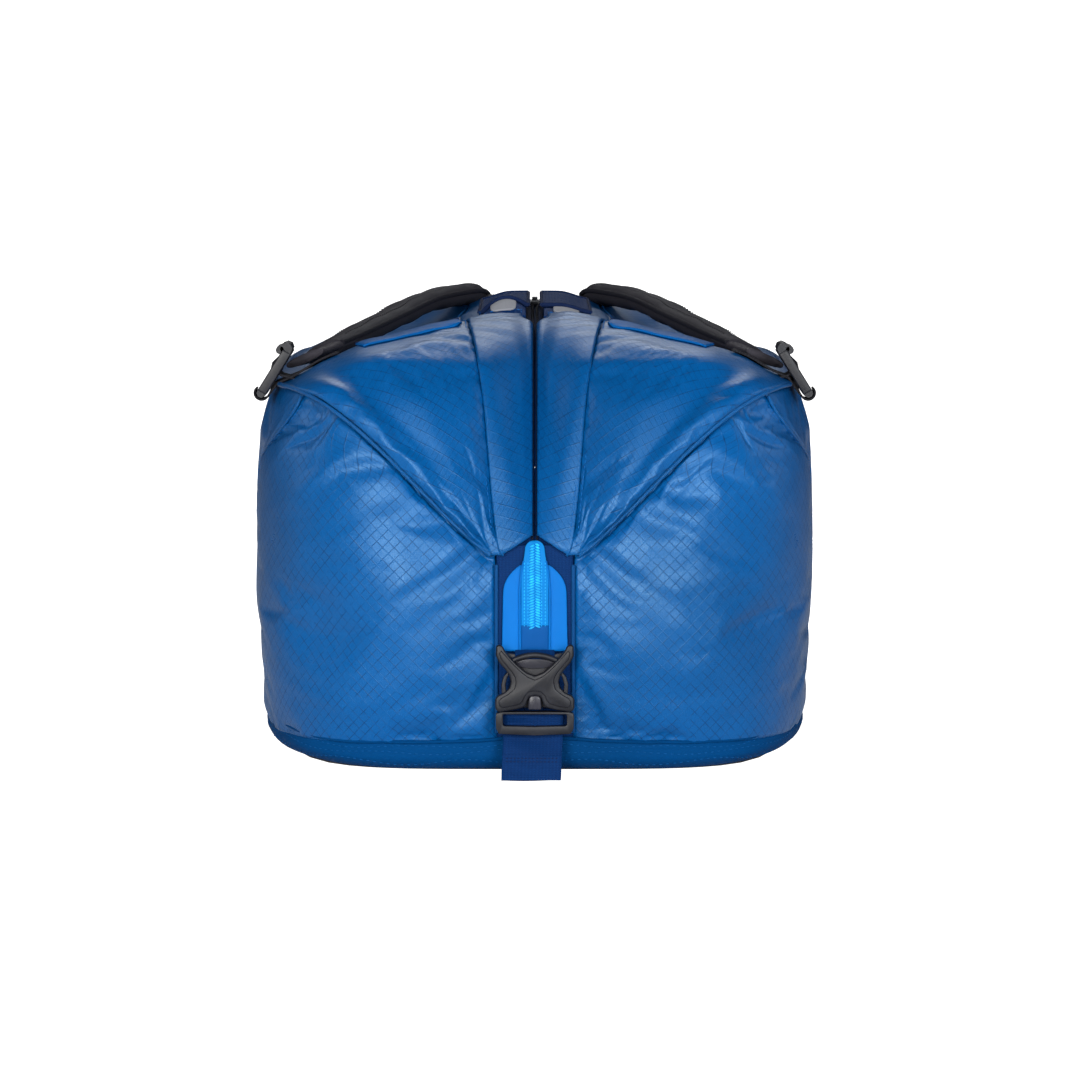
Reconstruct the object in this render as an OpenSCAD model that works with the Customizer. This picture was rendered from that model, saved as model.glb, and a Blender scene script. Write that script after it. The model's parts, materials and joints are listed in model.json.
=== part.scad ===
// Soft duffel-style boot bag with a zip over the top, two lids, end buckles and shoulder straps.
// Millimetres, +Z up, +Y along the bag, the photographed end at -Y.

/* [Body] */
// Half of the greatest width of the walls
half_w = 183; // [160:1:210]
// Half of the greatest length of the walls
half_l = 293; // [240:1:330]
// Squareness of the plan outline
plan_n = 4.6; // [3.6:0.1:6]
// Height of the base band
base_h = 29; // [26:1:34]
// Height of the shoulder where lid and wall meet
shoulder_z = 246; // [236:1:256]
// Height of the zip along the flat top
top_z = 286; // [278:1:296]
// Height of the bottom of the folded V at each end
vee_z = 143; // [142:1:156]
// Thickness of the padded cloth
cloth_t = 2.5; // [1.5:0.1:3.5]
// Height of the widest point of the side walls
wide_z = 174; // [130:1:190]
// Narrowing of the side walls at the floor
tuck_low = 7; // [0:0.5:12]
// Narrowing of the side walls at the shoulder
tuck_high = 10; // [0:0.5:16]

/* [Lids] */
// Half width of the slit between the zip flaps on the ends
slit_end = 2.5; // [2:0.1:4]
// Half width of the valley between the zip flaps on the top
slit_top = 8; // [7.6:0.1:10]
// Half of the level run of the zip along the top
level_y = 130; // [110:1:140]
// Width of a zip flap at the bottom of the V
flap_low = 19; // [14:0.5:21]
// Width of a zip flap over the top
flap_high = 44; // [36:1:50]
// Rise of the lid between zip and shoulder
lid_bulge = 10; // [6:0.5:13]
// Sag of the top between the two ends
lid_sag = 12; // [0:0.5:16]

/* [Buckle] */
// Width of the webbing in the buckles
web_w = 38; // [30:1:40]
// Thickness of the webbing
web_t = 1.6; // [1.2:0.1:2]
// Thickness of the buckle from back to front
buckle_t = 9.6; // [8.6:0.2:11]

/* [Straps] */
// Greatest width of a shoulder strap pad
pad_w = 46; // [36:1:48]
// Thickness of a shoulder strap pad
pad_t = 11; // [8:0.5:13]
// Rise of a shoulder strap above its anchors
pad_rise = 7; // [2:0.5:12]
// Height of the top of the haul handles above the flap
grip_rise = 18; // [17:1:24]

/* [Hidden] */
gap = 0.4;
fine = 0.5;
strip_half = 24;
corner = 0.91;
vee_x = 28;
tip_x = corner * (half_w - tuck_high) + 2;
wall_top = shoulder_z - cloth_t - 0.9;
end_face = half_l;
loop_y = end_face + gap;
tab_y = loop_y;
zip_y = tab_y + 1.2 + gap;
buckle_y = zip_y + 1.6 + gap + fine;
lift = base_h - 20;
navy = [0.0, 0.05, 0.14];
blue = [0.05, 0.16, 0.4];
charcoal = [0.08, 0.08, 0.09];
azure = [0.0, 0.3, 0.75];

// Half width and half length of the walls at a height
function wall_a(z) = z < wide_z
  ? half_w - tuck_low * pow((wide_z - z) / wide_z, 2)
  : half_w - tuck_high * pow((z - wide_z) / (shoulder_z - wide_z), 2);
function wall_b(z) = half_l - 7 * pow((z - wide_z + 45) / 100, 2);
function oval(p) = pow(max(0, 1 - pow(p, plan_n)), 1 / plan_n);
function end_y(x, z, o) = (wall_b(z) + o) * oval(min(1, abs(x) / (wall_a(z) + o)));
function side_x(y, z, o) = (wall_a(z) + o) * oval(min(1, abs(y) / (wall_b(z) + o)));
function unit(v) = v / max(1e-9, norm(v));
function mix(a, b, t) = a + (b - a) * t;

// Height of the folded V edge, from its bottom at w = 0 to the corner tip at w = 1
function vee(w) = vee_z + (shoulder_z - vee_z) * (w + 0.85 * w * w * (1 - w));

// Zip line over one end, s from 0 at the bottom of the V to 1 on the level top, 2 at the middle
function slit(s) = slit_end + (slit_top - slit_end) * pow(max(0, min(1, (s - 0.45) / 0.45)), 2);
function zip_lean(s, p0, p1, p2, p3) = p0 * pow(1 - s, 3) + 3 * p1 * s * pow(1 - s, 2)
  + 3 * p2 * s * s * (1 - s) + p3 * pow(s, 3);
function zip_yz(s) = s < 1
  ? [-zip_lean(s, half_l + 2.6, half_l - 38, half_l - 68, level_y),
     zip_lean(s, vee_z, vee_z + 76, top_z, top_z)]
  : [-level_y * (2 - s), top_z];
function zip_at(s) = [slit(s), zip_yz(s)[0], zip_yz(s)[1]];

// Outer edge of a lid: along the V, then along the shoulder
function vee_at(w) = let (x = mix(vee_x, tip_x, w), z = vee(w)) [x, -end_y(x, z, 3.6), z];
function edge_y() = end_y(tip_x, shoulder_z, 3.6);
function edge_at(s) = s < 1 ? vee_at(s)
  : let (y = edge_y() * (2 - s)) [side_x(y, shoulder_z, mix(3.6, 0, min(1, (s - 1) * 3))), -y, shoulder_z];

// A point of the lid on the +X side, u from the zip to the outer edge, s from one end to the other
function puff(s) = let (q = min(1, s)) [0, -0.87 * (1 - q), mix(0.5, 1, q)] * lid_bulge * min(1, s * 1.6);
function ease(t) = let (c = max(0, min(1, t))) c * c * (3 - 2 * c);
function sag(u, s) = lid_sag / 3 * ease((s - 1) / 0.35) * ease((1.02 - u) / 0.25)
  * (ease((u - 0.05) / 0.12) + 2 * ease((u - 0.17) / 0.35));
function lid_half(u, s) = mix(zip_at(s), edge_at(s), u) + puff(s) * 4 * u * (1 - u) - [0, 0, sag(u, s)];
function flip_y(p) = [p[0], -p[1], p[2]];
function lid_at(u, s) = s <= 2 ? lid_half(u, s) : flip_y(lid_half(u, 4 - s));
function row_len(s) = norm(edge_at(s <= 2 ? s : 4 - s) - zip_at(s <= 2 ? s : 4 - s));
function flap_u(s) = let (q = s <= 2 ? s : 4 - s)
  mix(flap_low, flap_high, min(1, q / 0.8)) / row_len(q);
function lid_n(u, s) = unit(cross(lid_at(u, s + 0.02) - lid_at(u, s - 0.02),
  lid_at(u - 0.02, s) - lid_at(u + 0.02, s)));
function lid_up(u, s) = let (n = lid_n(u, min(3.97, max(0.03, s)))) n[2] < -0.2 ? -n : n;

lid_steps = [0, 0.12, 0.24, 0.36, 0.48, 0.58, 0.68, 0.78, 0.88, 1, 1.1, 1.2, 1.32, 1.45, 1.7, 2,
  2.3, 2.55, 2.68, 2.8, 2.9, 3, 3.12, 3.22, 3.32, 3.42, 3.52, 3.64, 3.76, 3.88, 4];

// Cloth of even thickness between an outer grid of points and an inner one
module between(outer, inner) {
  rows = len(outer);
  cols = len(outer[0]);
  count = rows * cols;
  flat = [for (r = outer) for (p = r) p];
  under = [for (r = inner) for (p = r) p];
  skin = [for (i = [0 : rows - 2]) for (j = [0 : cols - 2]) for (k = [0, 1])
    let (a = i * cols + j, b = a + 1, c = a + cols, d = c + 1) k == 0 ? [a, b, d] : [a, d, c]];
  back = [for (f = skin) [f[2] + count, f[1] + count, f[0] + count]];
  rim = concat([for (j = [0 : cols - 2]) j], [for (i = [0 : rows - 2]) i * cols + cols - 1],
    [for (j = [cols - 1 : -1 : 1]) (rows - 1) * cols + j], [for (i = [rows - 1 : -1 : 1]) i * cols]);
  band = [for (m = [0 : len(rim) - 1]) for (k = [0, 1])
    let (a = rim[m], b = rim[(m + 1) % len(rim)]) k == 0 ? [b, a, a + count] : [b, a + count, b + count]];
  polyhedron(concat(flat, under), concat(skin, back, band), convexity = 10);
}

// Lift a strip of the lid by an offset along its normal
function lid_grid(us, steps, o) = [for (s = steps) [for (k = us) lid_at(k, s) + o * lid_up(k, s)]];

// Left-hand pieces are mirror images of the right-hand ones
module on_left() {
  mirror([1, 0, 0]) children();
}

// The back end repeats the front end
module on_back() {
  mirror([0, 1, 0]) children();
}

// Base band with its floor
module plan_outline(z, o) {
  a = wall_a(z) + o;
  b = wall_b(z) + o;
  q = [for (i = [0 : 11]) let (x = corner * i / 11) [a * x, b * oval(x)]];
  r = [for (i = [11 : -1 : 0]) let (y = oval(corner) * i / 11) [a * oval(y), b * y]];
  east = concat(q, [for (i = [1 : len(r) - 1]) r[i]]);
  south = [for (i = [len(east) - 2 : -1 : 0]) [east[i][0], -east[i][1]]];
  half = concat(east, south);
  polygon(concat(half, [for (i = [len(half) - 2 : -1 : 1]) [-half[i][0], half[i][1]]]));
}

module base_panel() {
  color(blue) difference() {
    union() {
      linear_extrude(4) plan_outline(base_h, -14);
      translate([0, 0, 3.5]) linear_extrude(6) plan_outline(base_h, -5);
      translate([0, 0, 9]) linear_extrude(base_h - 9) plan_outline(base_h, 0);
    }
    translate([0, 0, cloth_t]) linear_extrude(4) plan_outline(base_h, -17);
    translate([0, 0, 6]) linear_extrude(4) plan_outline(base_h, -8);
    translate([0, 0, 9.9]) linear_extrude(base_h) plan_outline(base_h, -3);
  }
}

module base_board() {
  color(charcoal) translate([0, 0, cloth_t + gap]) linear_extrude(3) plan_outline(base_h, -17.5);
}

// Side wall on +X
function side_rows() = [for (j = [0 : 6]) mix(base_h + gap, wall_top, j / 6)];
function side_cols(z) = let (c = wall_b(z) * oval(corner) - fine) [for (i = [0 : 14]) mix(-c, c, i / 14)];
module side_right() {
  outer = [for (z = side_rows()) [for (y = side_cols(z)) [side_x(y, z, 0), y, z]]];
  inner = [for (z = side_rows()) [for (y = side_cols(z))
    let (k = 1 - cloth_t / wall_b(z)) [side_x(y * k, z, -cloth_t), y * k, z]]];
  color(blue) between(inner, outer);
}

module side_left() {
  on_left() side_right();
}

// End wall on +X, its top edge tucked behind the folded V
function end_x(i, z) = mix(strip_half + fine, corner * wall_a(z), i / 10);
function end_w(i) = max(0, (end_x(i, shoulder_z) - vee_x) / (tip_x - vee_x));
function end_top(i) = min(wall_top, vee(min(1, end_w(i))) - 4);
function end_pt(i, j, o) = let (top = end_top(i), z = mix(base_h + gap, top, min(1, j / 7)),
    x = end_x(i, z) * (1 + o / wall_a(z) * pow(i / 10, 3)), y = -end_y(x, z, o))
  j < 8 ? [x, y, z] : [x, y + 5.5, min(wall_top + 0.02 * i, top + 5.5)];
module front_end_right() {
  outer = [for (j = [0 : 8]) [for (i = [0 : 10]) end_pt(i, j, 0)]];
  inner = [for (j = [0 : 8]) [for (i = [0 : 10]) end_pt(i, j, -cloth_t)]];
  color(blue) between(inner, outer);
}

module front_end_left() {
  on_left() front_end_right();
}

module back_end_right() {
  on_back() front_end_right();
}

module back_end_left() {
  on_left() on_back() front_end_right();
}

// Centre strip of each end, between the two end walls
module front_strip() {
  rows = [for (j = [0 : 5]) mix(base_h + gap, vee_z - 4, j / 5)];
  outer = [for (z = rows) [for (i = [0 : 2]) let (x = strip_half * (i - 1)) [x, -end_y(x, z, 0), z]]];
  inner = [for (z = rows) [for (i = [0 : 2]) let (x = strip_half * (i - 1)) [x, -end_y(x, z, -cloth_t), z]]];
  color(navy) between(inner, outer);
}

module back_strip() {
  on_back() front_strip();
}

// Tab of the zip end, with rounded upper corners
module front_tab() {
  color(azure) translate([0, -tab_y, lift]) rotate([90, 0, 0]) linear_extrude(1.2) union() {
    translate([-20.5, 75]) square([41, 45]);
    translate([-13.5, 75]) square([27, 53]);
    translate([-13, 120]) circle(7.5, $fn = 40);
    translate([13, 120]) circle(7.5, $fn = 40);
  }
}

module back_tab() {
  on_back() front_tab();
}

// Closed end of the zip on the tab, two rows of coil on one tape
module front_zip_end() {
  color([0.0, 0.4, 0.9]) translate([0, -zip_y, lift]) rotate([90, 0, 0]) {
    translate([-8.5, 90.4, 0]) cube([17, 38.6, 0.7]);
    translate([-3.2, 90.4, 0.7]) cube([6.4, 38.6, 0.9]);
  }
}

module back_zip_end() {
  on_back() front_zip_end();
}

// Patch that stops the zip
module front_stop() {
  color(blue) translate([-8.5, -zip_y - 1.4, lift + 75.4]) cube([17, 1.4, 14.6]);
}

module back_stop() {
  on_back() front_stop();
}

// Male half: ladder frame and guide tongue
frame_z = lift + 22.5;
frame_h = 13.5;
window_z = frame_z + 5;
module front_male() {
  mid = buckle_y + buckle_t / 2;
  color(charcoal) union() {
    difference() {
      translate([-24.5, -mid - 4, frame_z]) cube([49, 8, frame_h]);
      translate([-19.7, -mid - 5, window_z]) cube([39.4, 10, 6]);
    }
    translate([-3, -mid - 1.8, frame_z + frame_h - 0.1]) cube([6, 3.6, 21]);
    translate([0, -mid + 1.8, frame_z + frame_h + 20.9]) rotate([90, 0, 0]) cylinder(3.6, r = 3, $fn = 32);
  }
}

module back_male() {
  on_back() front_male();
}

// Sprung prong of the male half on +X
prong_x = 14.6;
prong_z = frame_z + frame_h + 3;
module front_prong_right() {
  mid = buckle_y + buckle_t / 2;
  color(charcoal) translate([0, -mid + 2.4, lift]) rotate([90, 0, 0]) linear_extrude(4.8) union() {
    translate([prong_x, prong_z - lift]) circle(2.4, $fn = 32);
    polygon([[prong_x - 2.2, prong_z - lift], [prong_x + 2.2, prong_z - lift], [17.4, 49], [19.2, 49.8],
      [19.3, 55], [17.6, 60.4], [14.6, 61], [13.4, 58]]);
  }
}

module front_prong_left() {
  on_left() front_prong_right();
}

module back_prong_right() {
  on_back() front_prong_right();
}

module back_prong_left() {
  on_left() on_back() front_prong_right();
}

// Female half: crossed arms, side windows and a bar for its webbing
module arms() {
  polygon([[-24.5, 80], [-19.6, 80], [-16.6, 76], [16.6, 76], [19.6, 80], [24.5, 80], [23.6, 71], [15.4, 61.5],
    [14.6, 56], [15.4, 50.5], [23, 42.5], [23.4, 36.6], [-23.4, 36.6], [-23, 42.5], [-15.4, 50.5],
    [-14.6, 56], [-15.4, 61.5], [-23.6, 71]]);
}

module front_female() {
  mid = buckle_y + buckle_t / 2;
  color(charcoal) translate([0, 0, lift]) difference() {
    translate([0, -buckle_y, 0]) rotate([90, 0, 0]) linear_extrude(buckle_t) arms();
    translate([-20.2, -mid - 2.9, 36]) cube([40.4, 5.8, 26.5]);
    translate([-13, -mid - 6, 66]) cube([26, 12, 4.5]);
    translate([-13, -buckle_y - 2.4, 66]) cube([26, 3, 12]);
  }
}

module back_female() {
  on_back() front_female();
}

// Webbing of the female half: round its bar and up behind the tab
module front_loop() {
  w = 25;
  color(navy) translate([0, -buckle_y, lift]) union() {
    translate([-w / 2, -2.1, 66.6]) cube([w, web_t, 11]);
    translate([-w / 2, -7, 66.6]) cube([w, 5, web_t]);
  }
}

module back_loop() {
  on_back() front_loop();
}

// Webbing through the ladder of the male half, with its free tail
function root(o) = concat([for (z = [vee_z - 62, vee_z - 78, vee_z - 88]) [-wall_b(z) - o, z]],
  [for (z = [frame_z + 10.5, frame_z + 0.6]) [-loop_y - o + gap, z]]);
function reverse(v) = [for (i = [len(v) - 1 : -1 : 0]) v[i]];
module front_tail() {
  mid = buckle_y + buckle_t / 2;
  w = web_w;
  front = mid + 4 + gap;
  color(navy) union() {
    translate([-w / 2, 0, 0]) rotate([90, 0, 90]) linear_extrude(w)
      polygon(concat(root(gap), reverse(root(gap + web_t))));
    translate([-w / 2, -front - web_t, window_z + 2.2]) cube([w, front + web_t - loop_y, web_t]);
    translate([-w / 2, -front - web_t, 1.2]) cube([w, web_t, window_z + 2.2]);
    translate([-w / 2, -front - 2 * web_t, 1.2]) cube([w, web_t + 0.1, 20]);
  }
}

module back_tail() {
  on_back() front_tail();
}

// Lid panel from the flap seam to the outer edge
function lid_us(s, n) = [for (i = [0 : n]) mix(flap_u(s) + gap / row_len(s <= 2 ? s : 4 - s), 1, i / n)];
function lid_skin(o) = [for (s = lid_steps) [for (k = lid_us(s, 7)) lid_at(k, s) + o * lid_up(k, s)]];
module lid_right() {
  color(blue) between(lid_skin(-cloth_t), lid_skin(0));
}

module lid_left() {
  on_left() lid_right();
}

// Zip flap beside the slit
function flap_skin(o) = [for (s = lid_steps) [for (k = [0 : 3])
  let (f = flap_u(s) * k / 3) lid_at(f, s) + o * lid_up(f, s)]];
module flap_right() {
  color(blue) between(flap_skin(-cloth_t), flap_skin(0));
}

module flap_left() {
  on_left() flap_right();
}

// Zip tape under the flap and the coil on its edge
function zip_n(s) = let (q = max(0.02, min(1.98, s)), d = zip_yz(q + 0.01) - zip_yz(q - 0.01))
  unit([0, -d[1], d[0]]);
function zip_pt(x, s, o) = let (q = s <= 2 ? s : 4 - s, p = [x, zip_yz(q)[0], zip_yz(q)[1]] + o * zip_n(q))
  s <= 2 ? p : flip_y(p);
tape_drop = cloth_t + 1.1;
function tape_skin(x0, x1, o) = [for (s = lid_steps) [for (x = [x0, x1]) zip_pt(x, s, o)]];
module tape_right() {
  color(navy) between(tape_skin(3.8, 15, -tape_drop - 0.9), tape_skin(3.8, 15, -tape_drop));
}

module tape_left() {
  on_left() tape_right();
}

module coil_right() {
  color(navy) between(tape_skin(1.3, 3.5, -tape_drop - 1.6), tape_skin(1.3, 3.5, -tape_drop + 0.4));
}

module coil_left() {
  on_left() coil_right();
}

// Reinforcement across the lid, behind the crest
function band_skin(o) = [for (s = [0.88, 1, 1.1, 1.2])
  let (us = lid_us(s, 7)) [for (i = [1 : 5]) lid_at(us[i], s) + o * lid_up(us[i], s)]];
module band_right() {
  color([0.05, 0.22, 0.55]) between(band_skin(gap), band_skin(gap + 1));
}

module band_left() {
  on_left() band_right();
}

// Haul handle: two sewn legs and a swinging grip
hand_u = [0.025, 0.06, 0.11, 0.16, 0.195];
hand_y = 58;
hand_x = 26;
hand_z = top_z - 1;
function leg_rise(t) = mix(0.9, grip_rise - 3, t * t * (3 - 2 * t));
function top_s(u, y) = 2 - y / mix(level_y, edge_y(), u);
function leg_pt(u, y, o) = let (t = max(0, (112 - y) / (112 - hand_y)))
  lid_at(u, top_s(u, y)) + [0, 0, leg_rise(t) + o];
function leg_skin(o) = [for (y = [level_y, 121, 112, 98, 84, 70, hand_y + 0.8])
  [for (k = hand_u) leg_pt(k, y, o)]];
module handle_legs_right() {
  color(navy) union() {
    between(leg_skin(0), leg_skin(web_t));
    on_back() between(leg_skin(0), leg_skin(web_t));
  }
}

module handle_legs_left() {
  on_left() handle_legs_right();
}

// Grey patch on the front leg of each handle
function patch_skin(o) = [for (y = [98, 84, 70]) [for (k = [0.06, 0.11, 0.16]) leg_pt(k, y, o)]];
module handle_patch_right() {
  color([0.6, 0.6, 0.65]) between(patch_skin(web_t + gap), patch_skin(web_t + gap + 0.8));
}

module handle_patch_left() {
  on_left() handle_patch_right();
}

module grip_right() {
  color(navy) translate([hand_x, 0, hand_z + grip_rise]) rotate([90, 0, 0]) union() {
    translate([-11, -4, -hand_y]) cube([22, 8, 2 * hand_y]);
    translate([-11, 0, -hand_y]) cylinder(2 * hand_y, r = 4, $fn = 32);
    translate([11, 0, -hand_y]) cylinder(2 * hand_y, r = 4, $fn = 32);
  }
}

module grip_left() {
  on_left() grip_right();
}

// Zip slider on the level run, parked at the back, and its pull
slide_y = level_y - 12;
coil_top = top_z - tape_drop + 0.4;
module slider() {
  color(charcoal) union() {
    translate([-5.5, slide_y - 8, coil_top + gap]) cube([11, 16, 1.6]);
    translate([-5.5, slide_y - 8, coil_top - 2.4 - gap - 1.4]) cube([11, 16, 1.4]);
    translate([-0.8, slide_y - 2, coil_top - 3]) cube([1.6, 9, 5]);
    difference() {
      translate([-2, slide_y - 6, coil_top + gap + 1.5]) cube([4, 12, 3.6]);
      translate([-3, slide_y - 4, coil_top + gap + 1.6]) cube([6, 8, 2.2]);
    }
  }
}

pull_z = coil_top + gap + 2.75;
module pull() {
  color(charcoal) union() {
    translate([-3.4, slide_y - 2.4, pull_z]) rotate([0, 90, 0]) cylinder(6.8, r = 0.7, $fn = 24);
    translate([-3.9, slide_y - 28, pull_z - 0.7]) cube([1.3, 26.4, 1.4]);
    translate([2.6, slide_y - 28, pull_z - 0.7]) cube([1.3, 26.4, 1.4]);
    translate([-3.9, slide_y - 34, pull_z - 0.7]) cube([7.8, 7, 1.4]);
  }
}

// Place of the ladder lock, just outside the lid edge near the corner
lock_y = mix(level_y, edge_y(), 0.81) - 12.2;
lock_p = [side_x(lock_y - 17, shoulder_z, 1.5) + 8.2, -lock_y, shoulder_z - 7];
lock_tilt = -122;

// Shoulder strap between the far anchor and the near corner lock
far = lid_at(0.28, 3) + [0, 0, gap + 2 + 0.8 + 2];
near = lock_p + [-28, 0, 23];
function strap_w(t) = t < 0.1 ? mix(6, 28, t / 0.1)
  : t < 0.25 ? mix(28, pad_w, sin(90 * (t - 0.1) / 0.15))
  : t < 0.6 ? pad_w : mix(pad_w, 30, (t - 0.6) / 0.16);
function strap_up() = unit(cross(far - near, [0, 1, 0]) * -1);
function strap_side() = unit(cross(near - far, strap_up()));
function strap_at(t) = mix(far, near, t) + [0, 0, pad_rise * lookup(t,
  [[0, 0], [0.05, 0.55], [0.13, 0.75], [0.3, 1], [0.5, 0.29], [0.72, -0.3], [0.87, -0.3], [1, 0]])];
function ring(t, w, h) = [for (c = [[-1, -0.35], [-0.86, -1], [0, -1], [0.86, -1], [1, -0.35],
  [1, 0.35], [0.86, 1], [0, 1], [-0.86, 1], [-1, 0.35]])
  strap_at(t) + strap_side() * c[0] * w / 2 + strap_up() * c[1] * h / 2];

// Closed tube through a list of rings
module tube(rings) {
  m = len(rings[0]);
  n = len(rings);
  pts = [for (r = rings) for (p = r) p];
  wall = [for (i = [0 : n - 2]) for (j = [0 : m - 1]) for (k = [0, 1])
    let (a = i * m + j, b = i * m + (j + 1) % m, c = a + m, d = b + m) k == 0 ? [a, d, b] : [a, c, d]];
  lid0 = [for (j = [1 : m - 2]) [0, j, j + 1]];
  lid1 = [for (j = [1 : m - 2]) [(n - 1) * m, (n - 1) * m + j + 1, (n - 1) * m + j]];
  polyhedron(pts, concat(wall, lid0, lid1), convexity = 10);
}

module pad_right() {
  ts = concat([0, 0.03, 0.06], [for (i = [0 : 13]) mix(0.1, 0.76, i / 13)]);
  color(charcoal) tube([for (t = ts)
    ring(t, strap_w(t), mix(4, pad_t, max(0, min(1, min(t * 9, (0.78 - t) * 9)))))]);
}

module pad_left() {
  on_left() pad_right();
}

module tongue_right() {
  ts = [for (i = [0 : 5]) mix(0.7615, 0.95, i / 5)];
  color(charcoal) tube([for (t = ts) ring(t, 28, 2.6)]);
}

module tongue_left() {
  on_left() tongue_right();
}

// Patch that anchors the far end of a strap to the lid
module anchor_right() {
  steps = [2.92, 3, 3.08, 3.16];
  us = [0.2, 0.28, 0.36];
  color(charcoal) between(lid_grid(us, steps, gap), lid_grid(us, steps, gap + 2));
}

module anchor_left() {
  on_left() anchor_right();
}

// Ladder lock at the near corner, on a webbing tab sewn to the lid edge
module lock_place() {
  translate(lock_p) rotate([0, lock_tilt, 0]) children();
}

module lock_right() {
  color(charcoal) lock_place() union() {
    rotate([90, 0, 0]) translate([0, 0, -17]) cylinder(34, r = 2, $fn = 32);
    difference() {
      translate([0, -17, -2]) cube([36, 34, 4]);
      translate([3.5, -13.5, -3]) cube([8.5, 27, 6]);
      translate([15, -13.5, -3]) cube([5.5, 27, 6]);
      translate([25, -13.5, -3]) cube([5.5, 27, 6]);
    }
    translate([36, 17, -1.4]) rotate([90, 0, 0]) cylinder(34, r = 3.2, $fn = 32);
  }
}

module lock_left() {
  on_left() lock_right();
}

module lock_web_right() {
  color([0.02, 0.02, 0.02]) union() {
    lock_place() {
      translate([17, -12.5, -4]) cube([web_t, 25, 8]);
      translate([17, -12.5, -4]) cube([11, 25, web_t]);
      translate([26.4, -12.5, -4]) cube([web_t, 25, 6.2]);
    }
    translate(lock_p + [-12.2, -12.5, 12.7]) rotate([0, -150, 0]) cube([17, 25, web_t]);
  }
}

module lock_web_left() {
  on_left() lock_web_right();
}

function hook(a, r, y) = [lock_p[0] + r * cos(a), y, lock_p[2] + r * sin(a)];
function sewn(a, y, o) = let (s = top_s(a, -y)) lid_at(a, s) + gap * lid_up(a, s) + [0, 0, o];
function brow(y, o) = edge_at(top_s(1, -y)) + [gap + o, 0, gap + o];
module lock_anchor_right() {
  ends = [for (k = [-1, 0, 1]) lock_p[1] + 12 * k];
  wrap = [205, 240, 275, 310, 345, 25];
  low = concat([for (a = [0.81, 0.87, 0.93, 0.985]) [for (y = ends) sewn(a, y, 0)]],
    [[for (y = ends) brow(y, 0)]], [for (a = wrap) [for (y = ends) hook(a, 2.5 + web_t, y)]]);
  high = concat([for (a = [0.81, 0.87, 0.93, 0.985]) [for (y = ends) sewn(a, y, web_t)]],
    [[for (y = ends) brow(y, 0.8 * web_t)]], [for (a = wrap) [for (y = ends) hook(a, 2.5, y)]]);
  color([0.02, 0.02, 0.02]) between(low, high);
}

module lock_anchor_left() {
  on_left() lock_anchor_right();
}

base_panel();
base_board();
side_left();
side_right();
front_end_left();
front_end_right();
back_end_left();
back_end_right();
front_strip();
back_strip();
front_tab();
back_tab();
front_zip_end();
back_zip_end();
front_stop();
back_stop();
front_tail();
back_tail();
front_male();
back_male();
front_prong_left();
front_prong_right();
back_prong_left();
back_prong_right();
front_female();
back_female();
front_loop();
back_loop();
lid_left();
lid_right();
flap_left();
flap_right();
tape_left();
tape_right();
coil_left();
coil_right();
band_left();
band_right();
handle_legs_left();
handle_legs_right();
handle_patch_left();
handle_patch_right();
grip_left();
grip_right();
slider();
pull();
anchor_left();
anchor_right();
pad_left();
pad_right();
tongue_left();
tongue_right();
lock_anchor_left();
lock_anchor_right();
lock_left();
lock_right();
lock_web_left();
lock_web_right();
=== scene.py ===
"""Looks of a soft duffel-style boot bag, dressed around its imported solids."""

from __future__ import annotations

import bisect
import functools
import json
import logging
import math
from dataclasses import dataclass, field
from enum import Enum
from typing import Callable, Sequence, TypeVar

import bmesh
import bpy
from mathutils import Matrix, Vector, noise

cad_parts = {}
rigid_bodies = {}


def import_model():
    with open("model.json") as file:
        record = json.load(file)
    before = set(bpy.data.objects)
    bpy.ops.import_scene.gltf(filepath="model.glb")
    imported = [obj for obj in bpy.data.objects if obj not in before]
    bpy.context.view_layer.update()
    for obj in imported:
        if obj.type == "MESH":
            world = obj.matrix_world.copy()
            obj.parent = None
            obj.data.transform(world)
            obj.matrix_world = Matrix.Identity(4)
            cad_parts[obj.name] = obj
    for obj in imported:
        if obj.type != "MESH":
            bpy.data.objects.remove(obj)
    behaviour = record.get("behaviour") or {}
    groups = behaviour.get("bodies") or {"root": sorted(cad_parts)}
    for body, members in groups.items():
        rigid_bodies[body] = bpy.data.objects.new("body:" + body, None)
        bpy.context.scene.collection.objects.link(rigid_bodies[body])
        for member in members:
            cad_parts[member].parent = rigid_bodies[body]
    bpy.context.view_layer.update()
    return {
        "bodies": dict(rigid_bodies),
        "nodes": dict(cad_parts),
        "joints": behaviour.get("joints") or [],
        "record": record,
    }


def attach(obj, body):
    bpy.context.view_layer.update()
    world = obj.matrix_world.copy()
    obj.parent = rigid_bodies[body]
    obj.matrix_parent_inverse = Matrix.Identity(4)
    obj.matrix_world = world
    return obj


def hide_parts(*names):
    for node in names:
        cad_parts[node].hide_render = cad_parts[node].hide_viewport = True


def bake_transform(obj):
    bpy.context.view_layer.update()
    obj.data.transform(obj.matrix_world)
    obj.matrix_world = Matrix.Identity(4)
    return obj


LOG = logging.getLogger("boot_bag")
MM = 0.001
Blend = TypeVar("Blend", float, Vector)
Place = Callable[[float, float], Vector]
Chart = Callable[[float, float], tuple[float, float]]


class Side(Enum):
    """Left or right half of the bag, as the sign of X."""

    LEFT = -1
    RIGHT = 1

    @property
    def word(self) -> str:
        """Returns: the word used in names."""
        return self.name.lower()


class End(Enum):
    """Front or back end of the bag, as the sign of Y."""

    FRONT = -1
    BACK = 1

    @property
    def word(self) -> str:
        """Returns: the word used in names."""
        return self.name.lower()


def mix(a: Blend, b: Blend, t: float) -> Blend:
    """Straight blend of two numbers or vectors.

    Args:
        a: value at t = 0.
        b: value at t = 1.
        t: place between them.

    Returns:
        The blended value.
    """
    return a + (b - a) * t


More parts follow.
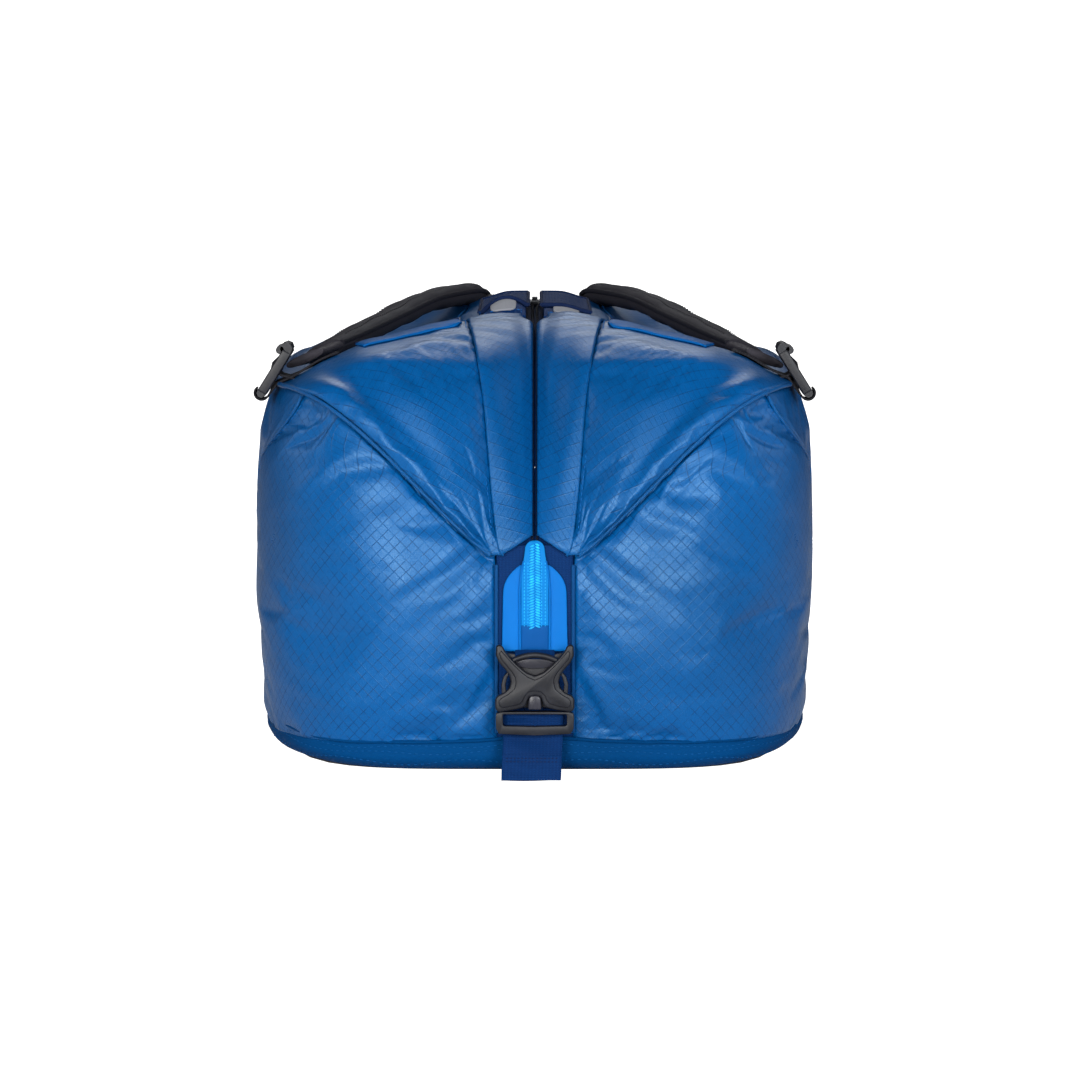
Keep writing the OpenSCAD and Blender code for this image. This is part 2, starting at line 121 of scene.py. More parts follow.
def ease(t: float) -> float:
    """Smooth step from 0 to 1.

    Args:
        t: input, clamped to 0..1.

    Returns:
        The eased value.
    """
    t = min(1.0, max(0.0, t))
    return t * t * (3 - 2 * t)


def bump(x: float, centre: float, width: float) -> float:
    """Bell curve.

    Args:
        x: input.
        centre: where the bell is 1.
        width: its standard width.

    Returns:
        A value between 0 and 1.
    """
    return math.exp(-(((x - centre) / width) ** 2))


@dataclass(frozen=True)
class Fold:
    """One soft fold drawn on a panel, from a to b in the panel's own flat millimetres."""

    a: tuple[float, float]
    b: tuple[float, float]
    height: float
    width: float

    def at(self, x: float, y: float) -> float:
        """Height of the fold at a point.

        Args:
            x: first flat coordinate, mm.
            y: second flat coordinate, mm.

        Returns:
            Rise in mm, negative in a valley.
        """
        ax, ay = self.a
        dx, dy = self.b[0] - ax, self.b[1] - ay
        size = dx * dx + dy * dy
        t = ((x - ax) * dx + (y - ay) * dy) / size
        if t < -0.3 or t > 1.3:
            return 0.0
        off = ((x - ax) * dy - (y - ay) * dx) / math.sqrt(size)
        off += 2.2 * noise.noise((x * 0.03, y * 0.03, self.height))
        along = ease((t + 0.3) / 0.5) * ease((1.3 - t) / 0.5)
        ridge = math.exp(-((off / self.width) ** 2))
        dip = math.exp(-(((off - 1.7 * self.width) / (1.3 * self.width)) ** 2))
        return self.height * along * (ridge - 0.45 * dip)


@dataclass(frozen=True)
class Slack:
    """How a pinned sheet of cloth is let out and filled."""

    pinned: Callable[[float, float], bool]
    grow: float = 0.03
    pressure: float = 3.0
    cap: float = 16.0
    bend: float = 0.3
    frames: int = 20


@dataclass(frozen=True)
class BagForm:
    """Shape of the bag in millimetres: walls, folded V, zip line and lids of the +X front quarter."""

    half_w: float = 183.0
    half_l: float = 293.0
    plan_n: float = 4.6
    base_h: float = 29.0
    shoulder_z: float = 246.0
    top_z: float = 286.0
    vee_z: float = 143.0
    wide_z: float = 174.0
    tuck_low: float = 7.0
    tuck_high: float = 10.0
    slit_end: float = 2.5
    slit_top: float = 8.0
    level_y: float = 130.0
    flap_low: float = 19.0
    flap_high: float = 44.0
    bulge: float = 10.0
    corner: float = 0.91
    vee_x: float = 28.0

    @functools.cached_property
    def arc(self) -> list[tuple[float, float, float]]:
        """Half the plan outline, from the middle of the front end to the back end: length, p and q."""
        table, last, run = [], Vector((0, -self.half_l, 0)), 0.0
        for i in range(1201):
            t = math.pi * i / 1200
            c, q = math.sin(t), -math.cos(t)
            k = 2 / self.plan_n
            point = Vector((abs(c) ** k * self.half_w, math.copysign(abs(q) ** k, q) * self.half_l, 0))
            run += (point - last).length
            last = point
            table.append((run, point.x / self.half_w, point.y / self.half_l))
        return table

    def around(self, length: float) -> tuple[float, float]:
        """Unit plan point at a length along the outline."""
        table = self.arc
        i = min(len(table) - 2, max(0, bisect.bisect_left(table, (length,)) - 1))
        a, b = table[i], table[i + 1]
        t = (length - a[0]) / max(1e-9, b[0] - a[0])
        return mix(a[1], b[1], t), mix(a[2], b[2], t)

    @functools.lru_cache(maxsize=None)
    def length_to(self, p: float) -> float:
        """Length along the outline from the middle of the front end to the unit width p."""
        return next(run for run, x, _ in self.arc if x >= p)

    def seam_p(self, z: float) -> float:
        """Unit width of the seam between end and side wall at height z."""
        return round(0.985 - 0.135 * ease((z - 186) / 58), 4)

    def wall(self, length: float, z: float, o: float) -> Vector:
        """Point of the wall at a length around the plan and a height, moved out by o."""
        p, q = self.around(length)
        return Vector((p * (self.wall_a(z) + o), q * (self.wall_b(z) + o), z))

    def wall_a(self, z: float) -> float:
        """Half width of the walls at height z."""
        if z < self.wide_z:
            return self.half_w - self.tuck_low * ((self.wide_z - z) / self.wide_z) ** 2
        return self.half_w - self.tuck_high * ((z - self.wide_z) / (self.shoulder_z - self.wide_z)) ** 2

    def wall_b(self, z: float) -> float:
        """Half length of the walls at height z."""
        return self.half_l - 7 * ((z - self.wide_z + 45) / 100) ** 2

    def oval(self, p: float) -> float:
        """Other coordinate of the plan outline at p, both from 0 to 1."""
        return max(0.0, 1 - min(1.0, abs(p)) ** self.plan_n) ** (1 / self.plan_n)

    def end_y(self, x: float, z: float, o: float) -> float:
        """Distance of the end wall from the middle at x, z, moved out by o."""
        return (self.wall_b(z) + o) * self.oval(x / (self.wall_a(z) + o))

    def side_x(self, y: float, z: float, o: float) -> float:
        """Distance of the side wall from the middle at y, z, moved out by o."""
        return (self.wall_a(z) + o) * self.oval(y / (self.wall_b(z) + o))

    @functools.cached_property
    def tip_x(self) -> float:
        """X of the corner tip where V and shoulder meet."""
        return self.corner * self.wall_a(self.shoulder_z) + 2

    @functools.lru_cache(maxsize=None)
    def vee(self, w: float) -> float:
        """Height of the folded V edge, w from its bottom to the corner tip."""
        return self.vee_z + (self.shoulder_z - self.vee_z) * (w + 0.85 * w * w * (1 - w))

    def slit(self, s: float) -> float:
        """Half width of the gap between the flaps along the zip."""
        t = min(1.0, max(0.0, (s - 0.45) / 0.45))
        return self.slit_end + (self.slit_top - self.slit_end) * t * t

    @staticmethod
    def _cubic(s: float, a: float, b: float, c: float, d: float) -> float:
        """Value at s of a cubic curve with four controls."""
        r = 1 - s
        return a * r**3 + 3 * b * s * r * r + 3 * c * s * s * r + d * s**3

    @functools.lru_cache(maxsize=None)
    def zip_yz(self, s: float) -> tuple[float, float]:
        """Y and Z of the zip line, s from 0 at the V to 1 on the level top and 2 at the middle."""
        if s >= 1:
            return -self.level_y * (2 - s), self.top_z
        y = -self._cubic(s, self.half_l + 2.6, self.half_l - 38, self.half_l - 68, self.level_y)
        return y, self._cubic(s, self.vee_z, self.vee_z + 76, self.top_z, self.top_z)

    @functools.lru_cache(maxsize=None)
    def zip_at(self, s: float) -> Vector:
        """Edge of the flap at the slit."""
        y, z = self.zip_yz(s)
        return Vector((self.slit(s), y, z))

    @functools.cached_property
    def edge_y(self) -> float:
        """Distance of the corner tip from the middle along Y."""
        return self.end_y(self.tip_x, self.shoulder_z, 3.6)

    @functools.lru_cache(maxsize=None)
    def edge_at(self, s: float) -> Vector:
        """Outer edge of a lid: the V, then the shoulder."""
        if s < 1:
            x, z = mix(self.vee_x, self.tip_x, s), self.vee(s)
            return Vector((x, -self.end_y(x, z, 3.6), z))
        y = self.edge_y * (2 - s)
        return Vector((self.side_x(y, self.shoulder_z, mix(3.6, 0.0, min(1.0, (s - 1) * 3))), -y,
                       self.shoulder_z))

    def lid(self, u: float, s: float) -> Vector:
        """Point of the lid, u from zip to edge, s from 0 at the front V to 4 at the back V."""
        q = min(s, 4 - s)
        t = min(1.0, q)
        puff = Vector((0, -0.87 * (1 - t), mix(0.5, 1.0, t))) * (self.bulge * min(1.0, q * 1.6))
        p = mix(self.zip_at(q), self.edge_at(q), u) + puff * (4 * u * (1 - u))
        dip = 4 * ease((u - 0.05) / 0.12) + 8 * ease((u - 0.17) / 0.35)
        p.z -= ease((q - 1) / 0.35) * ease((1.02 - u) / 0.25) * dip
        return p if s <= 2 else Vector((p.x, -p.y, p.z))

    @functools.lru_cache(maxsize=None)
    def row(self, s: float) -> float:
        """Width of the lid across at s."""
        q = min(s, 4 - s)
        return (self.edge_at(q) - self.zip_at(q)).length

    @functools.lru_cache(maxsize=None)
    def flap_u(self, s: float) -> float:
        """Share of the lid's width that the zip flap takes at s."""
        q = min(s, 4 - s)
        return mix(self.flap_low, self.flap_high, min(1.0, q / 0.62) ** 0.8) / self.row(q)

    def lid_up(self, u: float, s: float) -> Vector:
        """Outward normal of the lid."""
        s = min(3.97, max(0.03, s))
        along = self.lid(u, s + 0.02) - self.lid(u, s - 0.02)
        across = self.lid(u - 0.02, s) - self.lid(u + 0.02, s)
        n = along.cross(across).normalized()
        return -n if n.z < -0.2 else n

    def zip_normal(self, s: float) -> Vector:
        """Outward normal of the zip line."""
        q = max(0.02, min(1.98, min(s, 4 - s)))
        a, b = self.zip_yz(q + 0.01), self.zip_yz(q - 0.01)
        n = Vector((0, -(a[1] - b[1]), a[0] - b[0])).normalized()
        return n if s <= 2 else Vector((0, -n.y, n.z))

    def zip_point(self, x: float, s: float, o: float) -> Vector:
        """Point beside the zip line, x from the middle and o along the normal."""
        y, z = self.zip_yz(min(s, 4 - s))
        return Vector((x, y if s <= 2 else -y, z)) + self.zip_normal(s) * o

    def top_s(self, u: float, y: float) -> float:
        """Place along the zip of a point of the level top at distance y from the middle."""
        return 2 - y / mix(self.level_y, self.edge_y, u)


class Wire:
    """A socket of a node tree with arithmetic."""

    def __init__(self, tree: bpy.types.NodeTree, socket: bpy.types.NodeSocket) -> None:
        """Wraps a socket of a node tree."""
        self.tree = tree
        self.socket = socket

    def math(self, kind: str, *others: "Wire | float") -> "Wire":
        """Adds a Math node.

        Args:
            kind: its operation.
            others: further inputs.

        Returns:
            The result.
        """
        node = self.tree.nodes.new("ShaderNodeMath")
        node.operation = kind
        self.tree.links.new(self.socket, node.inputs[0])
        for i, other in enumerate(others):
            if isinstance(other, Wire):
                self.tree.links.new(other.socket, node.inputs[i + 1])
            else:
                node.inputs[i + 1].default_value = other
        return Wire(self.tree, node.outputs[0])

    def __add__(self, other: "Wire | float") -> "Wire":
        """Sum."""
        return self.math("ADD", other)

    def __sub__(self, other: "Wire | float") -> "Wire":
        """Difference."""
        return self.math("SUBTRACT", other)

    def __mul__(self, other: "Wire | float") -> "Wire":
        """Product."""
        return self.math("MULTIPLY", other)

    def most(self, other: "Wire | float") -> "Wire":
        """Returns: the larger of the two."""
        return self.math("MAXIMUM", other)

    def teeth(self) -> "Wire":
        """Returns: a triangle wave, 1 at whole numbers and 0 between."""
        return (self.math("FRACT") - 0.5).math("ABSOLUTE") * 2.0

    def wave(self) -> "Wire":
        """Returns: a sine wave of period 1 between 0 and 1."""
        return (self * (2 * math.pi)).math("SINE") * 0.5 + 0.5

    def step(self, low: float, high: float) -> "Wire":
        """Smooth step.

        Args:
            low: input that gives 0.
            high: input that gives 1.

        Returns:
            The stepped value.
        """
        node = self.tree.nodes.new("ShaderNodeMapRange")
        node.interpolation_type = "SMOOTHSTEP"
        self.tree.links.new(self.socket, node.inputs["Value"])
        node.inputs["From Min"].default_value = low
        node.inputs["From Max"].default_value = high
        return Wire(self.tree, node.outputs["Result"])


class Shade:
    """A procedural material under construction."""

    def __init__(self, name: str, rough: float, specular: float = 0.5) -> None:
        """Starts a material with its roughness and specular level."""
        self.material = bpy.data.materials.new(name)
        self.material.use_nodes = True
        self.tree = self.material.node_tree
        self.bsdf = self.tree.nodes["Principled BSDF"]
        self.bsdf.inputs["Roughness"].default_value = rough
        self.bsdf.inputs["Specular IOR Level"].default_value = specular

    def node(self, kind: str, **values: object) -> bpy.types.Node:
        """Adds any node and sets its inputs by name.

        Args:
            kind: node type.
            values: input values, with _ for a space in the name.

        Returns:
            The node.
        """
        node = self.tree.nodes.new(kind)
        for key, value in values.items():
            socket = node.inputs[key.replace("_", " ")]
            if isinstance(value, Wire):
                self.tree.links.new(value.socket, socket)
            else:
                socket.default_value = value
        return node

    def wire(self, node: bpy.types.Node, output: str) -> Wire:
        """Returns: an output of a node as a Wire."""
        return Wire(self.tree, node.outputs[output])

    def flat(self) -> tuple[Wire, Wire]:
        """Returns: the piece's flat cloth coordinates, in metres."""
        split = self.node("ShaderNodeSeparateXYZ", Vector=self.wire(self.node("ShaderNodeTexCoord"), "UV"))
        return self.wire(split, "X"), self.wire(split, "Y")

    def cloud(self, scale: float, detail: float = 3.0, uv: bool = False) -> Wire:
        """Noise on Object or UV coordinates.

        Args:
            scale: noise scale per metre.
            detail: octaves.
            uv: True to follow the cloth.

        Returns:
            The noise, about 0 to 1.
        """
        where = self.wire(self.node("ShaderNodeTexCoord"), "UV" if uv else "Object")
        return self.wire(self.node("ShaderNodeTexNoise", Vector=where, Scale=scale, Detail=detail), "Fac")

    def colour(self, base: Sequence[float], other: Sequence[float], factor: Wire) -> Wire:
        """Blends two colours.

        Args:
            base: linear RGB at 0.
            other: linear RGB at 1.
            factor: the blend.

        Returns:
            The colour.
        """
        node = self.tree.nodes.new("ShaderNodeMix")
        node.data_type = "RGBA"
        node.inputs["A"].default_value = (*base, 1)
        node.inputs["B"].default_value = (*other, 1)
        self.tree.links.new(factor.socket, node.inputs[0])
        return Wire(self.tree, node.outputs["Result"])

    def over(self, base: Wire, other: Sequence[float], factor: Wire) -> Wire:
        """Lays one colour over a varying one.

        Args:
            base: the colour beneath.
            other: linear RGB on top.
            factor: how much of it.

        Returns:
            The colour.
        """
        node = self.tree.nodes.new("ShaderNodeMix")
        node.data_type = "RGBA"
        self.tree.links.new(base.socket, node.inputs["A"])
        node.inputs["B"].default_value = (*other, 1)
        self.tree.links.new(factor.socket, node.inputs[0])
        return Wire(self.tree, node.outputs["Result"])

    def put(self, socket: str, wire: Wire) -> None:
        """Links a Wire to an input of the shader."""
        self.tree.links.new(wire.socket, self.bsdf.inputs[socket])

    def relief(self, height: Wire, distance: float, strength: float = 1.0) -> None:
        """Adds bump to the shader.

        Args:
            height: the height, 0 to 1.
            distance: its depth in metres.
            strength: bump strength.
        """
        node = self.node("ShaderNodeBump", Height=height, Distance=distance, Strength=strength)
        self.put("Normal", self.wire(node, "Normal"))

    def sheen(self, weight: float, rough: float, tint: Sequence[float]) -> None:
        """Adds sheen."""
        self.bsdf.inputs["Sheen Weight"].default_value = weight
        self.bsdf.inputs["Sheen Roughness"].default_value = rough
        self.bsdf.inputs["Sheen Tint"].default_value = (*tint, 1)


@dataclass(frozen=True)
class Ripstop:
    """Coated cloth with a diamond grid of thicker yarns."""

    colour: tuple[float, float, float]
    line: tuple[float, float, float]
    pitch: float = 0.0052
    rough: float = 0.32
    grid: float = 1.0
    gloss: float = 0.5

    def make(self, name: str) -> bpy.types.Material:
        """Builds the material.

        Args:
            name: its name.

        Returns:
            The material.
        """
        shade = Shade(name, self.rough, self.gloss)
        u, v = shade.flat()
        k = 1 / (self.pitch * math.sqrt(2))
        a, b = (u + v) * k, (u - v) * k
        lines = a.teeth().step(0.86, 0.99).most(b.teeth().step(0.86, 0.99))
        fine = (u * 1450.0).wave() * (v * 1450.0).wave()
        yarns = shade.cloud(1500.0, 2.0, uv=True).step(0.42, 0.72)
        patchy = shade.cloud(7.0, 4.0)
        crumple = shade.cloud(46.0, 5.0, uv=True)
        tone = shade.colour(self.colour, tuple(c * 0.72 for c in self.colour), patchy.step(0.35, 0.75))
        tone = shade.over(tone, tuple(c * 1.5 for c in self.colour), yarns * 0.5)
        worn = shade.cloud(130.0, 3.0, uv=True).step(0.3, 0.6)
        shade.put("Base Color", shade.over(tone, self.line, lines * worn * (0.85 * self.grid)))
        shade.put("Roughness", crumple * 0.16 + (lines * 0.1 + yarns * 0.1 + (self.rough - 0.1)))
        shade.relief(crumple * 0.8 + (lines * (0.12 * self.grid) + fine * 0.05 + yarns * 0.05), 0.0011, 0.55)
        shade.bsdf.inputs["Specular Tint"].default_value = (0.44, 0.76, 1.0, 1)
        return shade.material


@dataclass(frozen=True)
class Webbing:
    """Flat woven webbing, ribbed across."""

    colour: tuple[float, float, float]
    light: tuple[float, float, float]
    rib: float = 0.0011
    rough: float = 0.62

    def make(self, name: str) -> bpy.types.Material:
        """Builds the material, see Ripstop.make.

        Args:
            name: name of the material.

        Returns:
            The material.
        """
        shade = Shade(name, self.rough, 0.08)
        u, v = shade.flat()
        rows = (v * (1 / self.rib) + (u * (0.5 / self.rib)).teeth() * 0.5).wave()
        columns = (u * (0.5 / self.rib)).wave()
        weave = rows * 0.7 + columns * 0.3
        worn = shade.cloud(60.0, 4.0)
        tone = shade.colour(self.colour, self.light, weave * 0.55 + worn * 0.25)
        shade.put("Base Color", tone)
        shade.put("Roughness", worn * 0.2 + (self.rough - 0.1))
        shade.relief(weave, 0.00035, 0.8)
        shade.sheen(0.08, 0.5, self.light)
        return shade.material


@dataclass(frozen=True)
class PlainCloth:
    """Smooth or coarse plain-woven cloth."""

    colour: tuple[float, float, float]
    yarn: float = 0.0007
    rough: float = 0.6
    depth: float = 0.00018
    sheen: float = 0.1

    def make(self, name: str) -> bpy.types.Material:
        """Builds the material, see Ripstop.make.

        Args:
            name: name of the material.

        Returns:
            The material.
        """
        shade = Shade(name, self.rough, 0.08)
        u, v = shade.flat()
        weave = (u * (1 / self.yarn)).wave() * 0.5 + (v * (1 / self.yarn)).wave() * 0.5
        patchy = shade.cloud(22.0, 4.0)
        tone = shade.colour(tuple(c * 0.72 for c in self.colour),
                            tuple(min(1.0, c * 1.25) for c in self.colour),
                            patchy * 0.6 + weave * 0.4)
        shade.put("Base Color", tone)
        shade.put("Roughness", patchy * 0.2 + (self.rough - 0.1))
        shade.relief(weave * 0.6 + patchy * 0.8, self.depth, 0.7)
        shade.sheen(self.sheen, 0.45, tuple(min(1.0, c * 2 + 0.03) for c in self.colour))
        return shade.material


@dataclass(frozen=True)
class Moulded:
    """Moulded plastic or enamel with a fine spark-eroded grain."""

    colour: tuple[float, float, float]
    rough: float = 0.42
    grain: float = 2600.0
    metal: float = 0.0

    def make(self, name: str) -> bpy.types.Material:
        """Builds the material, see Ripstop.make.

        Args:
            name: name of the material.

        Returns:
            The material.
        """
        shade = Shade(name, self.rough, 0.3)
        grain = shade.cloud(self.grain, 2.0)
        worn = shade.cloud(90.0, 4.0)
        shade.put("Base Color", shade.colour(self.colour, tuple(c * 1.7 + 0.004 for c in self.colour),
                                             worn.step(0.45, 0.8)))
        shade.put("Roughness", worn * 0.22 + (self.rough - 0.1))
        shade.relief(grain, 0.00005, 0.6)
        shade.bsdf.inputs["Metallic"].default_value = self.metal
        return shade.material


class Loom:
    """Makes mesh objects in the part's frame: shapes are given in millimetres, meshes are in metres."""

    def __init__(self, finishes: dict[str, bpy.types.Material]) -> None:
        """Takes the finishes by name."""
        self.finishes = finishes

    def keep(self, bm: bmesh.types.BMesh, name: str, finish: str, smooth: bool = True) -> bpy.types.Object:
        """Turns a bmesh into an object with a finish.

        Args:
            bm: the shape, in metres; freed here.
            name: object name.
            finish: name of its finish.
            smooth: True for smooth shading.

        Returns:
            The object.
        """
        for face in bm.faces:
            face.smooth = smooth
        mesh = bpy.data.meshes.new(name)
        bm.to_mesh(mesh)
        bm.free()
        mesh.materials.append(self.finishes[finish])
        obj = bpy.data.objects.new(name, mesh)
        bpy.context.scene.collection.objects.link(obj)
        return obj

    def patch(self, name: str, size: tuple[int, int], place: Place, chart: Chart, thick: float, finish: str,
              out: Vector | None = None, slack: Slack | None = None) -> bpy.types.Object:
        """A sheet of cloth: a grid laid over a surface and thickened inwards.

        Args:
            name: object name.
            size: faces along u and v.
            place: gives the outer point, in mm, for u and v from 0 to 1.
            chart: gives the flat cloth coordinates, in mm, for a place just laid.
            thick: thickness in mm.
            finish: name of its finish.
            out: point inside the bag that the cloth faces away from.
            slack: how the sheet is let out by simulation, if it is.

        Returns:
            The object.
        """
        bm = bmesh.new()
        bmesh.ops.create_grid(bm, x_segments=size[0], y_segments=size[1], size=0.5)
        layer = bm.loops.layers.uv.new("UVMap")
        spots = {v.index: (v.co.x + 0.5, v.co.y + 0.5) for v in bm.verts}
        flat = {}
        for vert in bm.verts:
            point = place(*spots[vert.index])
            vert.co = point * MM
            flat[vert.index] = Vector(chart(*spots[vert.index])) * MM
        for face in bm.faces:
            for loop in face.loops:
                loop[layer].uv = flat[loop.vert.index]
        bm.normal_update()
        core = (out if out is not None else Vector((0, 0, 120))) * MM
        facing = sum(f.normal.dot(f.calc_center_median() - core) * f.calc_area() for f in bm.faces)
        if facing < 0:
            bmesh.ops.reverse_faces(bm, faces=bm.faces[:])
        obj = self.keep(bm, name, finish)
        if slack:
            self.fill(obj, slack, [i for i, spot in spots.items() if slack.pinned(*spot)])
        self.thicken(obj, thick)
        return obj

    @staticmethod
    def fill(obj: bpy.types.Object, slack: Slack, pins: Sequence[int]) -> None:
        """Lets a pinned sheet swell and buckle by cloth simulation and keeps the result.

        Args:
            obj: the sheet.
            slack: how it is let out.
            pins: indices of the points that stay.
        """
        scene = bpy.context.scene
        group = obj.vertex_groups.new(name="pins")
        group.add(list(pins), 1.0, "REPLACE")
        cloth = obj.modifiers.new("Cloth", "CLOTH")
        rule = cloth.settings
        rule.quality, rule.mass = 6, 0.15
        rule.tension_stiffness = rule.compression_stiffness = 15
        rule.shear_stiffness, rule.bending_stiffness = 5, slack.bend
        rule.vertex_group_mass = group.name
        rule.shrink_min = -slack.grow
        rule.use_pressure, rule.uniform_pressure_force = True, slack.pressure
        rule.effector_weights.gravity = 0
        cloth.collision_settings.use_collision = False
        cloth.point_cache.frame_start, cloth.point_cache.frame_end = 1, slack.frames
        for frame in range(1, slack.frames + 1):
            scene.frame_set(frame)
        mesh = obj.evaluated_get(bpy.context.evaluated_depsgraph_get()).to_mesh()
        ends = [vert.co.copy() for vert in mesh.vertices]
        obj.modifiers.remove(cloth)
        obj.vertex_groups.remove(group)
        for vert, end in zip(obj.data.vertices, ends):
            move = end - vert.co
            vert.co += move * min(1.0, slack.cap * MM / max(1e-9, move.length))
        scene.frame_set(1)

    @staticmethod
    def thicken(obj: bpy.types.Object, thick: float, offset: float = -1.0) -> None:
        """Gives a sheet its thickness.

        Args:
            obj: the sheet.
            thick: thickness in mm.
            offset: -1 to thicken inwards.
        """
        solid = obj.modifiers.new("Thickness", "SOLIDIFY")
        solid.thickness = thick * MM
        solid.offset = offset

    @staticmethod
    def paced(points: Sequence[Vector], step: float) -> list[Vector]:
        """Points evenly spaced along a line.

        Args:
            points: the line.
            step: spacing.

        Returns:
            The new points.
        """
        result, left = [points[0].copy()], step
        for a, b in zip(points, points[1:]):
            length = (b - a).length
            while length > 1e-9 and left <= length:
                result.append(a.lerp(b, left / length))
                left += step
            left -= length
        return result

    def cord(self, name: str, points: Sequence[Vector], radius: float, finish: str, step: float = 3.0,
             closed: bool = False) -> bpy.types.Object:
        """A round piping, hem or thread along a line.

        Args:
            name: object name.
            points: the line, in mm.
            radius: in mm.
            finish: name of its finish.
            step: spacing of its rings in mm.
            closed: True for a ring.

        Returns:
            The object.
        """
        line = self.paced(points, step)
        curve = bpy.data.curves.new(name, "CURVE")
        curve.dimensions = "3D"
        curve.bevel_depth = radius * MM
        curve.bevel_resolution = 2
        curve.use_fill_caps = True
        spline = curve.splines.new("POLY")
        spline.points.add(len(line) - 1)
        spline.use_cyclic_u = closed
        for point, p in zip(spline.points, line):
            point.co = (*(p * MM), 1)
        holder = bpy.data.objects.new(name, curve)
        mesh = bpy.data.meshes.new_from_object(holder)
        mesh.name = name
        bpy.data.objects.remove(holder)
        bpy.data.curves.remove(curve)
        mesh.materials.clear()
        mesh.materials.append(self.finishes[finish])
        if not mesh.uv_layers:
            mesh.uv_layers.new(name="UVMap")
        for polygon in mesh.polygons:
            polygon.use_smooth = True
        obj = bpy.data.objects.new(name, mesh)
        bpy.context.scene.collection.objects.link(obj)
        return obj

    def stitches(self, name: str, lines: Sequence[Sequence[Vector]], finish: str, length: float = 2.6,
                 gap: float = 1.0, radius: float = 0.34) -> bpy.types.Object:
        """Rows of sewing stitches.

        Args:
            name: object name.
            lines: the rows, in mm.
            finish: name of its finish.
            length: length of a stitch in mm.
            gap: space between stitches in mm.
            radius: half the thickness of the thread in mm.

        Returns:
            The object with all rows.
        """
        shape = Matrix.Diagonal((radius * MM, radius * MM, length / 2 * MM, 1))
        places = []
        for line in lines:
            spots = self.paced(line, length + gap)
            for a, b in zip(spots, spots[1:]):
                turn = (b - a).to_track_quat("Z", "X").to_matrix().to_4x4()
                places.append(Matrix.Translation((a + b) / 2 * MM) @ turn @ shape)
        return self.scatter(name, places, finish)

    def scatter(self, name: str, places: Sequence[Matrix], finish: str,
                size: tuple[int, int] = (5, 4)) -> bpy.types.Object:
        """Many small beads, such as stitches or zip teeth.

        Args:
            name: object name.
            places: place, turn and size of each bead.
            finish: name of its finish.
            size: faces around and along a bead.

        Returns:
            The object with all beads.
        """
        bm = bmesh.new()
        for i in range(0, len(places), 32):
            few, mesh = bmesh.new(), bpy.data.meshes.new("beads")
            for place in places[i:i + 32]:
                bmesh.ops.create_uvsphere(few, u_segments=size[0], v_segments=size[1], radius=1,
                                          matrix=place)
            few.to_mesh(mesh)
            few.free()
            bm.from_mesh(mesh)
            bpy.data.meshes.remove(mesh)
        bmesh.ops.recalc_face_normals(bm, faces=bm.faces[:])
        bm.loops.layers.uv.new("UVMap")
        return self.keep(bm, name, finish)

    def plate(self, name: str, outline: Sequence[tuple[float, float]], low: float, high: float,
              frame: Matrix,
              finish: str, round_by: float = 0.8, holes: Sequence[Sequence[tuple[float,
                      float]]] = ()) -> bpy.types.Object:
        """A moulded plate: an outline extruded, holed and rounded.

        Args:
            name: object name.
            outline: corner points in mm.
            low: lower face in mm.
            high: upper face in mm.
            frame: places the plate, in mm.
            finish: name of its finish.
            round_by: edge radius in mm.
            holes: outlines of windows.

        Returns:
            The object.
        """
        obj = self.keep(self.block(outline, low, high, frame), name, finish)
        for i, hole in enumerate(holes):
            cutter = self.keep(self.block(hole, low - 5, high + 5, frame), f"{name}_cut_{i}", finish)
            cut = obj.modifiers.new("Cut", "BOOLEAN")
            cut.object = cutter
            cut.solver = "EXACT"
            self.bake(obj)
            bpy.data.objects.remove(cutter)
        soft = obj.modifiers.new("Round", "BEVEL")
        soft.width = round_by * MM
        soft.segments = 3
        soft.limit_method = "ANGLE"
        soft.angle_limit = math.radians(28)
        soft.harden_normals = False
        return obj

    @staticmethod
    def block(outline: Sequence[tuple[float, float]], low: float, high: float,
              frame: Matrix) -> bmesh.types.BMesh:
        """An outline extruded straight up.

        Args:
            outline: corner points in mm.
            low: lower face in mm.
            high: upper face in mm.
            frame: places the block, in mm.

        Returns:
            The bmesh, in metres.
        """
        bm = bmesh.new()
        verts = [bm.verts.new((x, y, low)) for x, y in outline]
        face = bm.faces.new(verts)
        grown = bmesh.ops.extrude_face_region(bm, geom=[face])
        top = [g for g in grown["geom"] if isinstance(g, bmesh.types.BMVert)]
        bmesh.ops.translate(bm, verts=top, vec=(0, 0, high - low))
        bmesh.ops.transform(bm, verts=bm.verts[:], matrix=Matrix.Diagonal((MM, MM, MM, 1)) @ frame)
        bmesh.ops.recalc_face_normals(bm, faces=bm.faces[:])
        bm.loops.layers.uv.new("UVMap")
        return bm

    @staticmethod
    def bake(obj: bpy.types.Object) -> None:
        """Applies all modifiers of an object.

        Args:
            obj: the object, which keeps its name and its place.
        """
        bpy.context.view_layer.update()
        graph = bpy.context.evaluated_depsgraph_get()
        mesh = bpy.data.meshes.new_from_object(obj.evaluated_get(graph), preserve_all_data_layers=True,
                                               depsgraph=graph)
        old = obj.data
        obj.modifiers.clear()
        obj.data = mesh
        bpy.data.meshes.remove(old)
        mesh.name = obj.name


